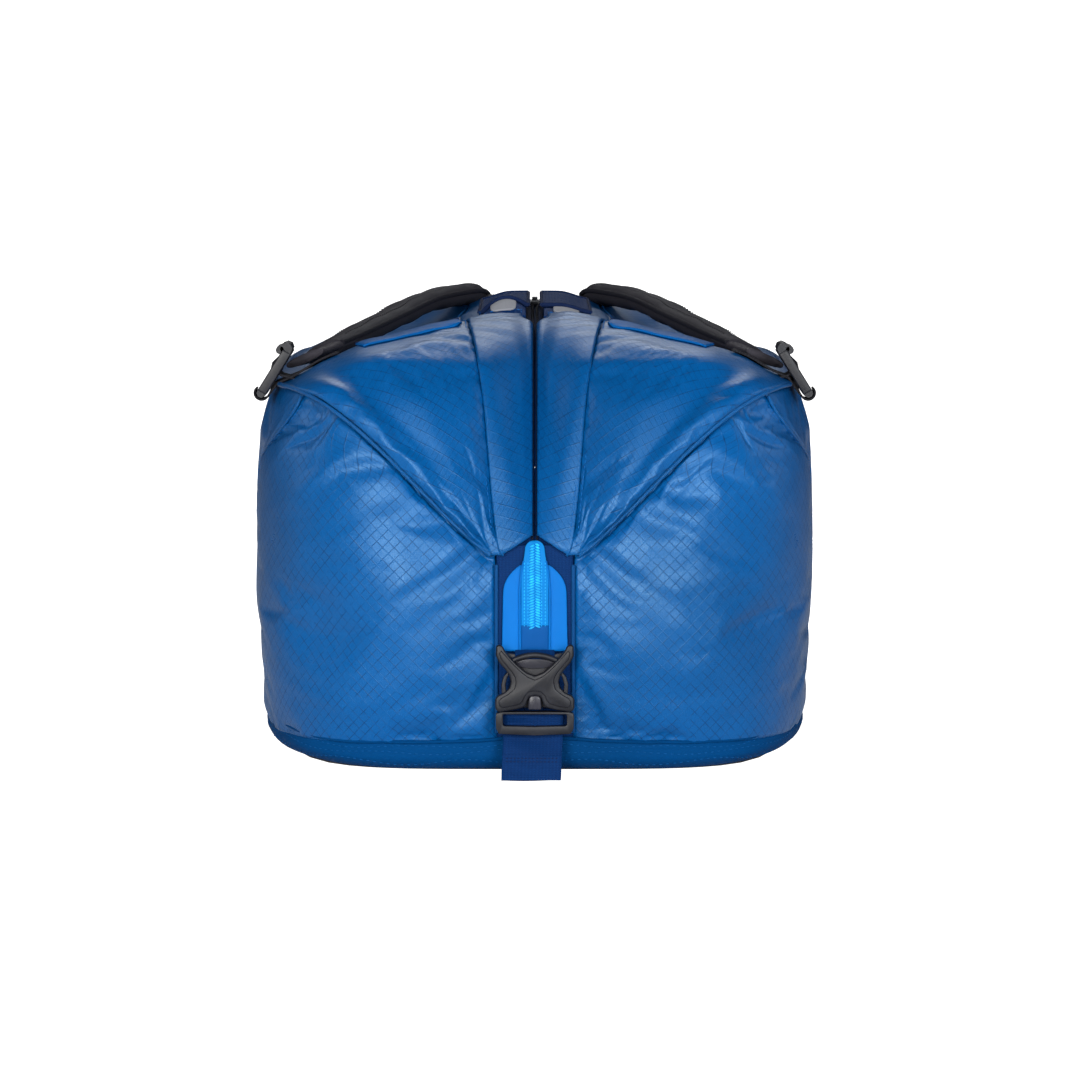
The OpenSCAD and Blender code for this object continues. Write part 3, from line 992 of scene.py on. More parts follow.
@dataclass
class Studio:
    """Camera, lights and floor of the catalogue shot."""

    distance: float = 3.0
    rise: float = 5.4
    lens: float = 158.3
    target: tuple[float, float, float] = (0.0, -0.290, 0.150)
    shift: tuple[float, float] = (0.0048, 0.0030)

    def build(self) -> None:
        """Adds everything to the scene."""
        scene = bpy.context.scene
        camera = bpy.data.objects.new("camera", bpy.data.cameras.new("camera"))
        camera.data.lens = self.lens
        camera.data.sensor_width = 36
        camera.data.shift_x, camera.data.shift_y = self.shift
        camera.data.clip_end = 60
        tilt = math.radians(self.rise)
        camera.location = Vector(self.target) + Vector((0, -math.cos(tilt), math.sin(tilt))) * self.distance
        camera.rotation_euler = (math.pi / 2 - tilt, 0, 0)
        scene.collection.objects.link(camera)
        scene.camera = camera
        scene.view_settings.view_transform = "Standard"
        self.world(scene)
        self.area("key", (-1.0, -3.2, 0.72), 1.3, 78, (1.0, 0.985, 0.96))
        self.area("fill", (1.10, -3.1, 0.75), 1.2, 66, (0.94, 0.97, 1.0))
        self.area("high", (-0.3, -2.6, 2.4), 1.2, 16, (1.0, 1.0, 1.0))
        self.area("left", (-2.6, 0.2, 1.2), 1.4, 11, (1.0, 0.99, 0.98))
        self.area("right", (2.6, 0.2, 1.2), 1.4, 11, (0.98, 0.99, 1.0))
        self.area("rear", (0.1, 2.6, 2.3), 1.6, 18, (0.97, 0.98, 1.0))
        self.floor()

    def area(self, name: str, where: tuple[float, float, float], size: float, power: float,
             colour: tuple[float, float, float]) -> None:
        """Adds a round soft light that faces the bag.

        Args:
            name: name of the light.
            where: its place, in m.
            size: diameter, in m.
            power: strength, in W.
            colour: linear RGB.
        """
        light = bpy.data.objects.new(name, bpy.data.lights.new(name, "AREA"))
        light.data.shape = "DISK"
        light.data.size = size
        light.data.energy = power
        light.data.color = colour
        light.location = where
        light.rotation_euler = (Vector((0, 0, 0.15)) - Vector(where)).to_track_quat("-Z", "Y").to_euler()
        bpy.context.scene.collection.objects.link(light)

    @staticmethod
    def world(scene: bpy.types.Scene) -> None:
        """White backdrop to the camera, faint cool light to everything else.

        Args:
            scene: the scene that gets the world.
        """
        world = bpy.data.worlds.new("studio")
        world.use_nodes = True
        scene.world = world
        tree = world.node_tree
        tree.nodes["Background"].inputs["Color"].default_value = (0.86, 0.9, 1.0, 1)
        tree.nodes["Background"].inputs["Strength"].default_value = 0.03
        white = tree.nodes.new("ShaderNodeBackground")
        white.inputs["Strength"].default_value = 1.4
        path = tree.nodes.new("ShaderNodeLightPath")
        blend = tree.nodes.new("ShaderNodeMixShader")
        tree.links.new(path.outputs["Is Camera Ray"], blend.inputs["Fac"])
        tree.links.new(tree.nodes["Background"].outputs["Background"], blend.inputs[1])
        tree.links.new(white.outputs["Background"], blend.inputs[2])
        tree.links.new(blend.outputs["Shader"], tree.nodes["World Output"].inputs["Surface"])

    @staticmethod
    def floor() -> None:
        """Plain pale floor."""
        bm = bmesh.new()
        bmesh.ops.create_grid(bm, x_segments=1, y_segments=1, size=9)
        mesh = bpy.data.meshes.new("floor")
        bm.to_mesh(mesh)
        bm.free()
        shade = Shade("paper", 0.9, 0.1)
        shade.bsdf.inputs["Base Color"].default_value = (0.93, 0.93, 0.93, 1)
        split = shade.node("ShaderNodeSeparateXYZ",
                           Vector=shade.wire(shade.node("ShaderNodeTexCoord"), "Object"))
        x, y = shade.wire(split, "X"), shade.wire(split, "Y")
        far = (x * x + y * y).math("SQRT").step(0.24, 0.42) * 0.22 + 0.78
        seen = shade.wire(shade.node("ShaderNodeLightPath"), "Is Camera Ray")
        glow = shade.node("ShaderNodeEmission", Strength=1.6)
        blend = shade.node("ShaderNodeMixShader", Fac=far * seen)
        shade.tree.links.new(shade.bsdf.outputs[0], blend.inputs[1])
        shade.tree.links.new(glow.outputs[0], blend.inputs[2])
        shade.tree.links.new(blend.outputs[0], shade.tree.nodes["Material Output"].inputs["Surface"])
        mesh.materials.append(shade.material)
        floor = bpy.data.objects.new("floor", mesh)
        floor.location = (0, 0, -0.0006)
        bpy.context.scene.collection.objects.link(floor)


@dataclass
class Dresser:
    """Base of the sub-assemblies: what they are cut from and how they are placed."""

    form: BagForm
    loom: Loom

    @staticmethod
    def turned(p: Vector, side: Side, end: End = End.FRONT) -> Vector:
        """A point of the right front quarter moved to another quarter."""
        return Vector((p.x * side.value, p.y * -end.value, p.z))

    def wear(self, obj: bpy.types.Object, body: str, slot: str, *nodes: str) -> bpy.types.Object:
        """Hangs a piece on its body.

        Args:
            obj: the piece.
            body: the body it rides on.
            slot: its material slot in the record, not used.
            nodes: CAD nodes that it stands in for.

        Returns:
            The piece.
        """
        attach(obj, body)
        if nodes:
            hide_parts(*nodes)
        return obj

    @staticmethod
    def cut(obj: bpy.types.Object) -> None:
        """Works out the flat size that a sewn panel's cloth coordinates give, and does nothing with it."""
        spots = [loop.uv for loop in obj.data.uv_layers[0].data]
        area = sum(face.area for face in obj.data.polygons)
        wide, tall = (max(uv[k] for uv in spots) - min(uv[k] for uv in spots) for k in (0, 1))
        max(wide, area / tall)


@dataclass
class Tub(Dresser):
    """Base band, side walls, end walls and centre strips."""

    folds: tuple[Fold, ...] = (
        Fold((34, 137), (62, 112), 2.6, 4.5), Fold((48, 146), (92, 118), 2.2, 6.0),
        Fold((36, 120), (52, 84), 1.6, 5.0), Fold((84, 170), (128, 150), 1.7, 7.0),
        Fold((120, 205), (158, 170), 2.0, 6.0), Fold((140, 60), (164, 96), 1.8, 6.0),
        Fold((118, 44), (160, 58), 1.6, 5.0), Fold((60, 40), (110, 48), 1.2, 6.0),
        Fold((148, 150), (164, 110), 1.5, 6.0), Fold((30, 70), (44, 44), 1.2, 5.0))

    def swell(self, x: float, z: float, seed: float) -> float:
        """Outward bulge and creases of an end wall at x, z.

        Args:
            x: distance from the middle of the end.
            z: height.
            seed: tells the walls' creases apart.

        Returns:
            How far the wall stands out, in mm.
        """
        w = min(1.0, max(0.0, (x - self.form.vee_x) / (self.form.tip_x - self.form.vee_x)))
        top = self.form.vee(w)
        across = min(1.0, max(0.0, (x - 24) / (self.form.tip_x - 10)))
        up = min(1.0, max(0.0, (z - 27) / (top - 26)))
        free = (4 * across * (1 - across)) ** 0.75 * (4 * up * (1 - up)) ** 0.75
        soft = 4.2 * noise.noise((x * 0.016, z * 0.016, seed))
        soft += 1.5 * noise.noise((x * 0.04, z * 0.05, seed + 4))
        fold = sum(f.at(x, z) for f in self.folds)
        edge = 1.1 * bump(z, 34, 7) * noise.noise((x * 0.055, 0.3, seed))
        return (4.0 + soft) * free + fold * 0.6 * ease((x - 24) / 8) * ease((top - z) / 10) + edge

    def end_wall(self, side: Side, end: End) -> None:
        """One end wall, tucked behind the folded V at its top.

        Args:
            side: half of the end.
            end: end of the bag; the back repeats the front, turned round.
        """
        form, seed = self.form, 2.0 * side.value + 7.0 * end.value

        start = form.length_to(round(24.2 / form.half_w, 4))
        spread: dict[tuple[float, float], tuple[float, float]] = {}

        def place(u: float, v: float) -> Vector:
            """Point of the wall, u from the strip to the corner and v up to its tucked top."""
            tall, rough = min(1.0, v / 0.93), mix(21, 240, min(1.0, v / 0.93))
            for _ in range(2):
                p, q = form.around(mix(start, form.length_to(form.seam_p(rough)), u))
                x = p * form.wall_a(rough)
                w = min(1.0, max(0.0, (x - form.vee_x) / (form.tip_x - form.vee_x)))
                rough = mix(21.0, min(242.6, form.vee(w) - 1.5), tall)
            z, tuck = rough, max(0.0, (v - 0.93) / 0.07)
            spread[u, v] = (mix(start, form.length_to(form.seam_p(z)), u), z + 7 * tuck)
            y = q * form.wall_b(z) - self.swell(x, z, seed) + 6.5 * tuck
            y += 4.5 * max(0.0, 1 - (form.vee(w) - z) / 20) ** 2 * (tuck < 0.01)
            return self.turned(Vector((x, y, min(243.0, z + 5 * tuck))), side, end)

        name = f"{end.word}_end_{side.word}"
        if end is End.BACK:
            twin = self.turned_round(f"front_end_{'right' if side is Side.LEFT else 'left'}_cloth",
                                     f"{name}_cloth")
            self.cut(self.wear(twin, "tub", "body_cloth", name))
            return
        obj = self.loom.patch(f"{name}_cloth", (84, 92), place, lambda u, v: spread[u, v], 1.6, "body",
                              slack=Slack(lambda u, v: min(u, 1 - u, v) < 0.01 or v > 0.925))
        self.cut(self.wear(obj, "tub", "body_cloth", name))

    def turned_round(self, source: str, name: str) -> bpy.types.Object:
        """Copy of a panel of the front end, turned round to the back end."""
        bm = bmesh.new()
        bm.from_mesh(bpy.data.objects[source].data)
        bmesh.ops.rotate(bm, matrix=Matrix.Rotation(math.pi, 3, "Z"), verts=bm.verts[:])
        obj = self.loom.keep(bm, name, "body")
        self.loom.thicken(obj, 1.6)
        return obj

    def side_wall(self, side: Side) -> None:
        """One side wall with soft sags; the left one repeats the right one.

        Args:
            side: side of the bag.
        """
        form = self.form
        if side is Side.LEFT:
            twin = self.turned_round("side_right_cloth", "side_left_cloth")
            self.cut(self.wear(twin, "tub", "body_cloth", "side_left"))
            return

        def place(u: float, v: float) -> Vector:
            """Point of the wall, u along the bag and v up."""
            z = mix(27.5, 243.5, v)
            first = form.length_to(form.seam_p(z))
            point = form.wall(mix(first, form.arc[-1][0] - first, u), z, 0)
            y = point.y
            free = ease(v / 0.2) * ease((1 - v) / 0.2) * ease(u / 0.06) * ease((1 - u) / 0.06)
            sag = 4.0 * noise.noise((y * 0.008, z * 0.010, 3.3))
            sag += 1.2 * noise.noise((y * 0.02 + z * 0.012, z * 0.02, 9.1))
            point += Vector((1, 0, 0)) * ((sag - 3.0) * free)
            return Vector((point.x * side.value, y, z))

        obj = self.loom.patch(f"side_{side.word}_cloth", (150, 64), place,
                              lambda u, v: (mix(-250, 250, u), mix(27, 243, v)), 1.6, "body",
                              slack=Slack(lambda u, v: min(u, 1 - u, v, 1 - v) < 0.016, 0.014, 1.5, 6.0))
        self.cut(self.wear(obj, "tub", "body_cloth", f"side_{side.word}"))

    def rim(self, steps: int) -> list[tuple[float, float]]:
        """Plan outline as unit points, evenly spaced, starting at the middle of the back end.

        Args:
            steps: number of stretches.

        Returns:
            The points.
        """
        form, dense = self.form, []
        for i in range(1441):
            t = math.pi / 2 + 2 * math.pi * i / 1440
            c, s = math.cos(t), math.sin(t)
            k = 2 / form.plan_n
            dense.append(Vector((math.copysign(abs(c) ** k, c) * form.half_w,
                                 math.copysign(abs(s) ** k, s) * form.half_l, 0)))
        total = sum((b - a).length for a, b in zip(dense, dense[1:]))
        spots = self.loom.paced(dense, total / steps * 0.99999)[: steps + 1]
        return [(p.x / form.half_w, p.y / form.half_l) for p in spots]

    @staticmethod
    def seam_z(p: float, q: float) -> float:
        """Height of the base band's upper seam at a unit point of the plan outline."""
        dip = 7.0 - 4.0 * bump(p, 0, 0.2) - 2.0 * ease((abs(p) - 0.75) / 0.2)
        return 29.4 - dip * ease((abs(q) - 0.7) / 0.28) + 0.7 * noise.noise((p * 9, q * 14, 0.5))

    def base(self) -> None:
        """Base band with its rolled lower edge and the floor cloth."""
        form, steps = self.form, 330
        rim = self.rim(steps)

        def lift(x: float, y: float) -> float:
            """Rise of the floor towards its edge."""
            return 4.5 * max(0.0, (abs(y) - 130) / 163) ** 2 + 9.0 * max(0.0, (abs(x) - 80) / 98) ** 2

        def place(u: float, v: float) -> Vector:
            """Point of the band."""
            p, q = rim[min(steps, round(u * steps))]
            out, rise = 0.0, 0.0
            if v < 0.45:
                rise, out = mix(1.0, 0.52, v / 0.45), 1.2 * math.sin(math.pi * v / 0.9)
            elif v < 0.8:
                t = (v - 0.45) / 0.35 * math.pi / 2
                rise, out = 0.52 * (1 - math.sin(t)), 1.2 - 17 * (1 - math.cos(t))
            else:
                out = -15.8 - 60 * (v - 0.8) / 0.2
            a, b = form.wall_a(form.base_h), form.wall_b(form.base_h)
            x, y = p * (a + out), q * (b + out)
            low = lift(x, y) + 0.3
            z = low + (self.seam_z(p, q) - low) * rise
            wob = 0.9 * noise.noise((x * 0.03, y * 0.03, z * 0.05)) * (0.2 < v < 0.8)
            return Vector((x + p * wob, y + q * wob, z))

        obj = self.loom.patch("base_band", (steps, 26), place,
                              lambda u, v: (u * 1650, v * 75), 1.8, "base", Vector((0, 0, 90)))
        self.wear(obj, "tub", "base_cloth", "base_panel")
        rows = [[place(k / steps, v + 0.05 * math.sin(k * 0.4 + 9 * v)) * 1.0008 for k in range(steps + 1)]
                for v in (0.16, 0.36, 0.56)]
        self.wear(self.loom.stitches("base_stitches", rows, "thread_base", 2.2, 2.2, 0.32), "tub",
                  "base_cloth")

        def under(u: float, v: float) -> Vector:
            """Point of the floor."""
            x, y = mix(-1, 1, u), mix(-1, 1, v)
            reach = (abs(x) ** form.plan_n + abs(y) ** form.plan_n) ** (1 / form.plan_n)
            k = max(abs(x), abs(y)) / max(1e-6, reach)
            p = Vector((x * k * 118, y * k * 228, 0))
            p.z = lift(p.x, p.y) + 0.4
            return p

        floor = self.loom.patch("base_floor", (40, 60), under, lambda u, v: (u * 236, v * 456), 1.5, "base",
                                Vector((0, 0, 90)))
        self.wear(floor, "tub", "base_cloth")

    def strip(self, end: End) -> None:
        """Navy centre strip with its light piped edges.

        Args:
            end: end of the bag.
        """
        form = self.form

        def place(u: float, v: float) -> Vector:
            """Point of the strip."""
            x, z = mix(-24.3, 24.3, u), mix(22.0, 149.0, v)
            y = -form.end_y(x, z, 0) - 0.4 * noise.noise((x * 0.05, z * 0.03, 1.0))
            return self.turned(Vector((x, y, z)), Side.RIGHT, end)

        obj = self.loom.patch(f"{end.word}_strip_cloth", (20, 44), place,
                              lambda u, v: (mix(-24, 24, u), mix(22, 149, v)), 1.8, "navy")
        self.wear(obj, "tub", "centre_webbing", f"{end.word}_strip")
        for side in Side:
            line = [self.turned(Vector((24.3, -form.end_y(24.3, z, 0.9), z)), side, end)
                    for z in range(29, 140, 4)]
            self.wear(self.loom.cord(f"{end.word}_strip_piping_{side.word}", line, 1.25, "piping"), "tub",
                      "centre_webbing")

    def seams(self) -> None:
        """Piping and stitches where end walls, side walls and base band meet."""
        form, rows = self.form, []
        for end in End:
            for side in Side:
                corner = [self.turned(self.corner_at(z, 0.8), side, end) for z in range(34, 243, 3)]
                self.wear(self.loom.cord(f"corner_seam_{end.word}_{side.word}", corner, 1.3, "body"), "tub",
                          "body_cloth")
                rows += [[self.turned(self.corner_at(z, 0.6, k), side, end) for z in range(36, 240, 3)]
                         for k in (-4.5, 4.5)]
        rim = self.rim(660)
        a, b = form.wall_a(29), form.wall_b(29)
        line = []
        for p, q in rim:
            line.append(Vector((p * (a + 0.7), q * (b + 0.7), self.seam_z(p, q))))
        self.wear(self.loom.cord("base_seam", line, 1.2, "base"), "tub", "base_cloth")
        self.wear(self.loom.stitches("wall_stitches", rows, "thread_blue"), "tub", "body_cloth")

    def corner_at(self, z: float, out: float, shift: float = 0.0) -> Vector:
        """Point beside the seam between end and side wall."""
        return self.form.wall(self.form.length_to(self.form.seam_p(z)) + shift, z, out)

    def build(self) -> None:
        """Dresses the whole tub."""
        self.base()
        for side in (Side.RIGHT, Side.LEFT):
            self.side_wall(side)
        for end in End:
            for side in Side:
                self.end_wall(side, end)
            self.strip(end)
        self.seams()


@dataclass
class Lid(Dresser):
    """One half of the top: lid panel, zip flap, tape, coil and reinforcement."""

    side: Side = Side.RIGHT

    @property
    def body(self) -> str:
        """Returns: the body that the lid rides on."""
        return f"{self.side.word}_lid"

    def pace(self) -> list[float]:
        """Returns: values of s evenly spaced along the lid."""
        form = self.form
        dense = [4 * i / 800 for i in range(801)]
        spots = [form.lid(0.45, s) for s in dense]
        run = [0.0]
        for a, b in zip(spots, spots[1:]):
            run.append(run[-1] + (b - a).length)
        result, i = [], 0
        for k in range(201):
            want = run[-1] * k / 200
            while i < 799 and run[i + 1] < want:
                i += 1
            t = (want - run[i]) / max(1e-9, run[i + 1] - run[i])
            result.append(mix(dense[i], dense[i + 1], min(1.0, t)))
        return result

    @staticmethod
    def past_brow(u: float, q: float) -> float:
        """Distance behind the crease that runs from the flap to the corner tip, mm."""
        return (q - mix(0.60, 1.0, min(1.0, max(0.0, (u - 0.2) / 0.8)) ** 1.5)) * 175

    def crease(self, u: float, s: float) -> float:
        """Soft wrinkles of lid and flap.

        Args:
            u: place across the lid.
            s: place along it.

        Returns:
            Height over the lid, in mm.
        """
        p = self.form.lid(u, s)
        seed = 3.0 * self.side.value
        soft = 2.2 * noise.noise((p.x * 0.014, p.y * 0.012, seed))
        soft += 1.0 * noise.noise((p.x * 0.05, p.y * 0.03, seed + 2))
        q = min(s, 4 - s)
        ripple = 2.5 * noise.noise((p.x * 0.03, p.y * 0.02, seed))
        crest = 1.1 * bump(q, 0.92, 0.14) * math.sin(p.y * 0.42 + ripple)
        off = self.past_brow(u, q)
        near = max(0.0, 1 - (off / 62 if off > 0 else -off / 80))
        brow = near * mix(3.0, 9.0, ease((u - 0.12) / 0.2)) * ease((1 - u) / 0.3)
        lip = 6.5 * bump(u, 0.95, 0.055) * ease((1.05 - q) / 0.25) * ease(q / 0.12)
        return soft * ease(q / 0.4) + crest * ease((0.55 - u) / 0.3) * 0.6 + brow + lip

    def sheet(self, name: str, low: Callable[[float], float], high: Callable[[float], float], across: int,
              raise_by: Callable[[float, float], float], finish: str, thick: float = 1.7,
              start: Callable[[float], float] = lambda a: 0.0,
              slack: Slack | None = None) -> bpy.types.Object:
        """A panel of the lid between two lines that run from end to end.

        Args:
            name: object name.
            low: inner line as u for s.
            high: outer line as u for s.
            across: faces across.
            raise_by: rise in mm for the place across (0 to 1) and s.
            finish: name of its finish.
            thick: thickness in mm.
            start: first s of the panel for the place across.
            slack: how the panel is let out by simulation, if it is.

        Returns:
            The panel.
        """
        form, pace = self.form, self.pace()
        length = 905.0

        def place(a: float, b: float) -> Vector:
            """Point of the sheet, a across the lid and b along it."""
            s = pace[round(b * 200)]
            s = mix(start(a), 4 - start(a), s / 4)
            u = mix(low(s), high(s), a)
            inner = max(0.0, u)
            over = raise_by(a, s) + self.crease(inner, s) * ease(inner / 0.1)
            p = form.lid(inner, s) + form.lid_up(inner, s) * over
            p.x += min(0.0, u) * form.row(s)
            return self.turned(p, self.side)

        def chart(a: float, b: float) -> tuple[float, float]:
            """Flat cloth coordinates of that point."""
            s = pace[round(b * 200)]
            return mix(low(s), high(s), a) * form.row(s), b * length

        return self.loom.patch(name, (across, 200), place, chart, thick, finish, Vector((0, 0, 60)), slack)

    def inner(self, s: float) -> float:
        """Inner line of the flap: nearly closed down the end, open where the slider runs."""
        form, q = self.form, min(s, 4 - s)
        return -(form.slit(s) - 1.1) / form.row(s) * ease((0.95 - q) / 0.08)

    def build(self) -> None:
        """Dresses the lid."""
        form, word = self.form, self.side.word

        steps = self.pace()

        def under(s: float) -> float:
            """How far the lid runs under the flap."""
            return 2.5 / form.row(s)

        def held(a: float, b: float) -> bool:
            """True where the cloth is pinned."""
            q = min(steps[round(b * 200)], 4 - steps[round(b * 200)])
            fold = abs(self.past_brow(mix(form.flap_u(q), 1, a), q)) < 2.5
            return min(a, 1 - a, b, 1 - b) < 0.012 or 0.215 < b < 0.785 or fold

        panel = self.sheet(f"lid_{word}_cloth", lambda s: form.flap_u(s) - under(s), lambda s: 1.0, 62,
                           lambda a, s: -2.4 * bump(a, 0, 0.028), "body", slack=Slack(
                               held, 0.014, 1.6, 9.0))
        self.cut(self.wear(panel, self.body, "body_cloth", f"lid_{word}"))
        flap = self.sheet(f"flap_{word}_cloth", self.inner, lambda s: form.flap_u(s), 24,
                          lambda a, s: 2.4 * math.sin(math.pi * mix(0.14, 0.98, a)) ** 0.6
                          - 1.6 * bump(a, 0, 0.025), "body",
                          start=lambda a: 0.052 * (1 - a))
        self.cut(self.wear(flap, self.body, "body_cloth", f"flap_{word}"))
        hem = [self.turned(form.edge_at(min(s, 4 - s)) if s <= 2 else
                           Vector((form.edge_at(4 - s).x, -form.edge_at(4 - s).y, form.edge_at(4 - s).z)),
                           self.side)
               for s in steps]
        self.wear(self.loom.cord(f"lid_{word}_hem", hem, 1.5, "body"), self.body, "body_cloth")
        rows = []
        for shift in (2.6, -2.4):
            rows.append([self.turned(form.lid(form.flap_u(s) + shift / form.row(s), s)
                                     + form.lid_up(form.flap_u(s), s) * 0.9, self.side)
                                     for s in steps[2:-2]])
        self.wear(self.loom.stitches(f"flap_{word}_stitches", rows, "thread_blue"), self.body, "body_cloth")
        self.tape()
        self.reinforcement()

    def reinforcement(self) -> None:
        """Smooth band across the lid behind the crest, piped along its upper edge."""
        form, word = self.form, self.side.word

        def place(u: float, v: float) -> Vector:
            """Point of the band."""
            a = mix(0.27, 0.70, u)
            tip = (1 - (1 - min(1.0, u / 0.1)) ** 2) ** 0.5
            mid, half = mix(1.01, 0.98, u), mix(0.09, 0.035, u) * mix(0.55, 1.0, tip)
            s = mid + half * (2 * v - 1)
            rim = max(abs(2 * u - 1), abs(2 * v - 1)) ** 8
            p = form.lid(a, s) + form.lid_up(a, s) * (2.4 - 1.0 * rim + self.crease(a, s))
            return self.turned(p, self.side)

        cloth = self.loom.patch(f"band_{word}_cloth", (60, 20), place, lambda u, v: (u * 75, v * 24), 1.2,
                                "band", Vector((0, 0, 60)))
        self.wear(cloth, self.body, "band_cloth", f"band_{word}")
        line = [place(k / 40, 1.0) for k in range(41)]
        self.wear(self.loom.cord(f"band_{word}_piping", line, 0.9, "binding", 2.0), self.body, "band_cloth")

    def tape(self) -> None:
        """Zip tape and coil under the flap."""
        form, word, pace = self.form, self.side.word, self.pace()

        def place(a: float, b: float) -> Vector:
            """Point of the tape."""
            return self.turned(form.zip_point(mix(0.12, 15, a), pace[round(b * 200)], -4.3), self.side)

        tape = self.loom.patch(f"tape_{word}_cloth", (6, 200), place, lambda a, b: (a * 12, b * 905), 0.8,
                               "navy", Vector((0, 0, 60)))
        self.wear(tape, self.body, "zip_dark", f"tape_{word}")
        line = self.loom.paced([form.zip_point(1.5, s, -3.6) for s in pace], 1.7)
        shape = Matrix.Diagonal((0.00145, 0.00080, 0.0010, 1))
        places = [Matrix.Translation(self.turned((a + b) / 2, self.side) * MM)
                  @ (b - a).to_track_quat("Y", "X").to_matrix().to_4x4() @ shape for a,
                  b in zip(line, line[1:])]
        self.wear(self.loom.scatter(f"coil_{word}_teeth", places, "zip_dark", (6, 4)), self.body,
                  "zip_dark", f"coil_{word}")


@dataclass
class ZipEnd(Dresser):
    """Bright closed end of the zip on its tab, with the stop patch."""

    end: End = End.FRONT

    def at(self, x: float, z: float, out: float) -> Vector:
        """Point in front of the end wall, out from the strip."""
        return self.turned(Vector((x, -293.6 - out, z)), Side.RIGHT, self.end)

    def build(self) -> None:
        """Dresses the zip end."""
        word = self.end.word

        def tab(u: float, v: float) -> Vector:
            """Point of the tab."""
            z = mix(82, 136.5, v)
            wide = 20.8 - 0.6 * (z - 82) / 30 - 10.4 * max(0.0, (z - 117) / 19.5) ** 2.6
            x = mix(-wide, wide, u)
            return self.at(x, z, 1.0 + 1.2 * (1 - (x / wide) ** 4) - 0.5 * bump(abs(x), 10.2, 0.9))

        cloth = self.loom.patch(f"{word}_tab_cloth", (56, 40), tab, lambda u, v: (u * 41, v * 54), 1.2,
                                "azure")
        self.wear(cloth, "tub", "tab_cloth", f"{word}_tab")

        def tape(u: float, v: float) -> Vector:
            """Point of the bright zip tape."""
            z = mix(95, 152, v)
            wide = mix(8.5, 6.0, ease((z - 128) / 22)) * math.sqrt(1 - 0.92 * max(0.0, (z - 147) / 5) ** 2)
            lean = 0.07 * max(0.0, z - 138) ** 1.5
            return self.at(mix(-wide, wide, u), z, 2.8 - lean + 0.5 * bump(mix(-wide, wide, u), 0, 3.0))

        ribbon = self.loom.patch(f"{word}_zip_tape", (24, 60), tape, lambda u, v: (u * 17, v * 57), 0.8,
                                 "zip")
        self.wear(ribbon, "tub", "zip_bright", f"{word}_zip_end")
        places = []
        for i in range(31):
            z = 97 + i * 1.72
            lean = 0.07 * max(0.0, z - 138) ** 1.5
            squeeze = mix(1.0, 0.8, ease((z - 134) / 20))
            for g in (-1, 1):
                spot = self.at(g * 2.0 * squeeze, z + 0.43 * (g + 1), 3.4 - lean) * MM
                shape = Matrix.Diagonal((0.0019 * squeeze, 0.0008, 0.00068, 1))
                places.append(Matrix.Translation(spot) @ Matrix.Rotation(g * 0.42, 4, "Y") @ shape)
        self.wear(self.loom.scatter(f"{word}_zip_teeth", places, "zip_teeth", (8, 6)), "tub", "zip_bright")
        rows = [[self.at(g * x, z, 3.0) for z in range(97, 140, 2)] for g in (-1, 1) for x in (4.3, 6.6)]
        self.wear(self.loom.stitches(f"{word}_zip_stitches", rows, "zip_teeth", 1.5, 0.7, 0.3), "tub",
                  "zip_bright")

        def stop(u: float, v: float) -> Vector:
            """Point of the stop patch."""
            x, z = mix(-8.7, 8.7, u), mix(82.5, 98.5, v)
            return self.at(x, z, 3.0 + 0.7 * (1 - (x / 8.7) ** 6) * (1 - ((z - 90.5) / 8) ** 6))

        patch = self.loom.patch(f"{word}_stop_cloth", (24, 20), stop, lambda u, v: (u * 17, v * 16), 1.0,
                                "stop")
        self.wear(patch, "tub", "stop_cloth", f"{word}_stop")
        for side in Side:
            line = [self.turned(Vector((x, -293.6 - 2.3, z)), side, self.end)
                    for x, z in ((9.3, 82.5), (9.4, 100), (9.5, 120), (8.6, 132), (6.4, 141))]
            self.wear(self.loom.cord(f"{word}_zip_piping_{side.word}", line, 0.85, "azure"), "tub",
                      "tab_cloth")


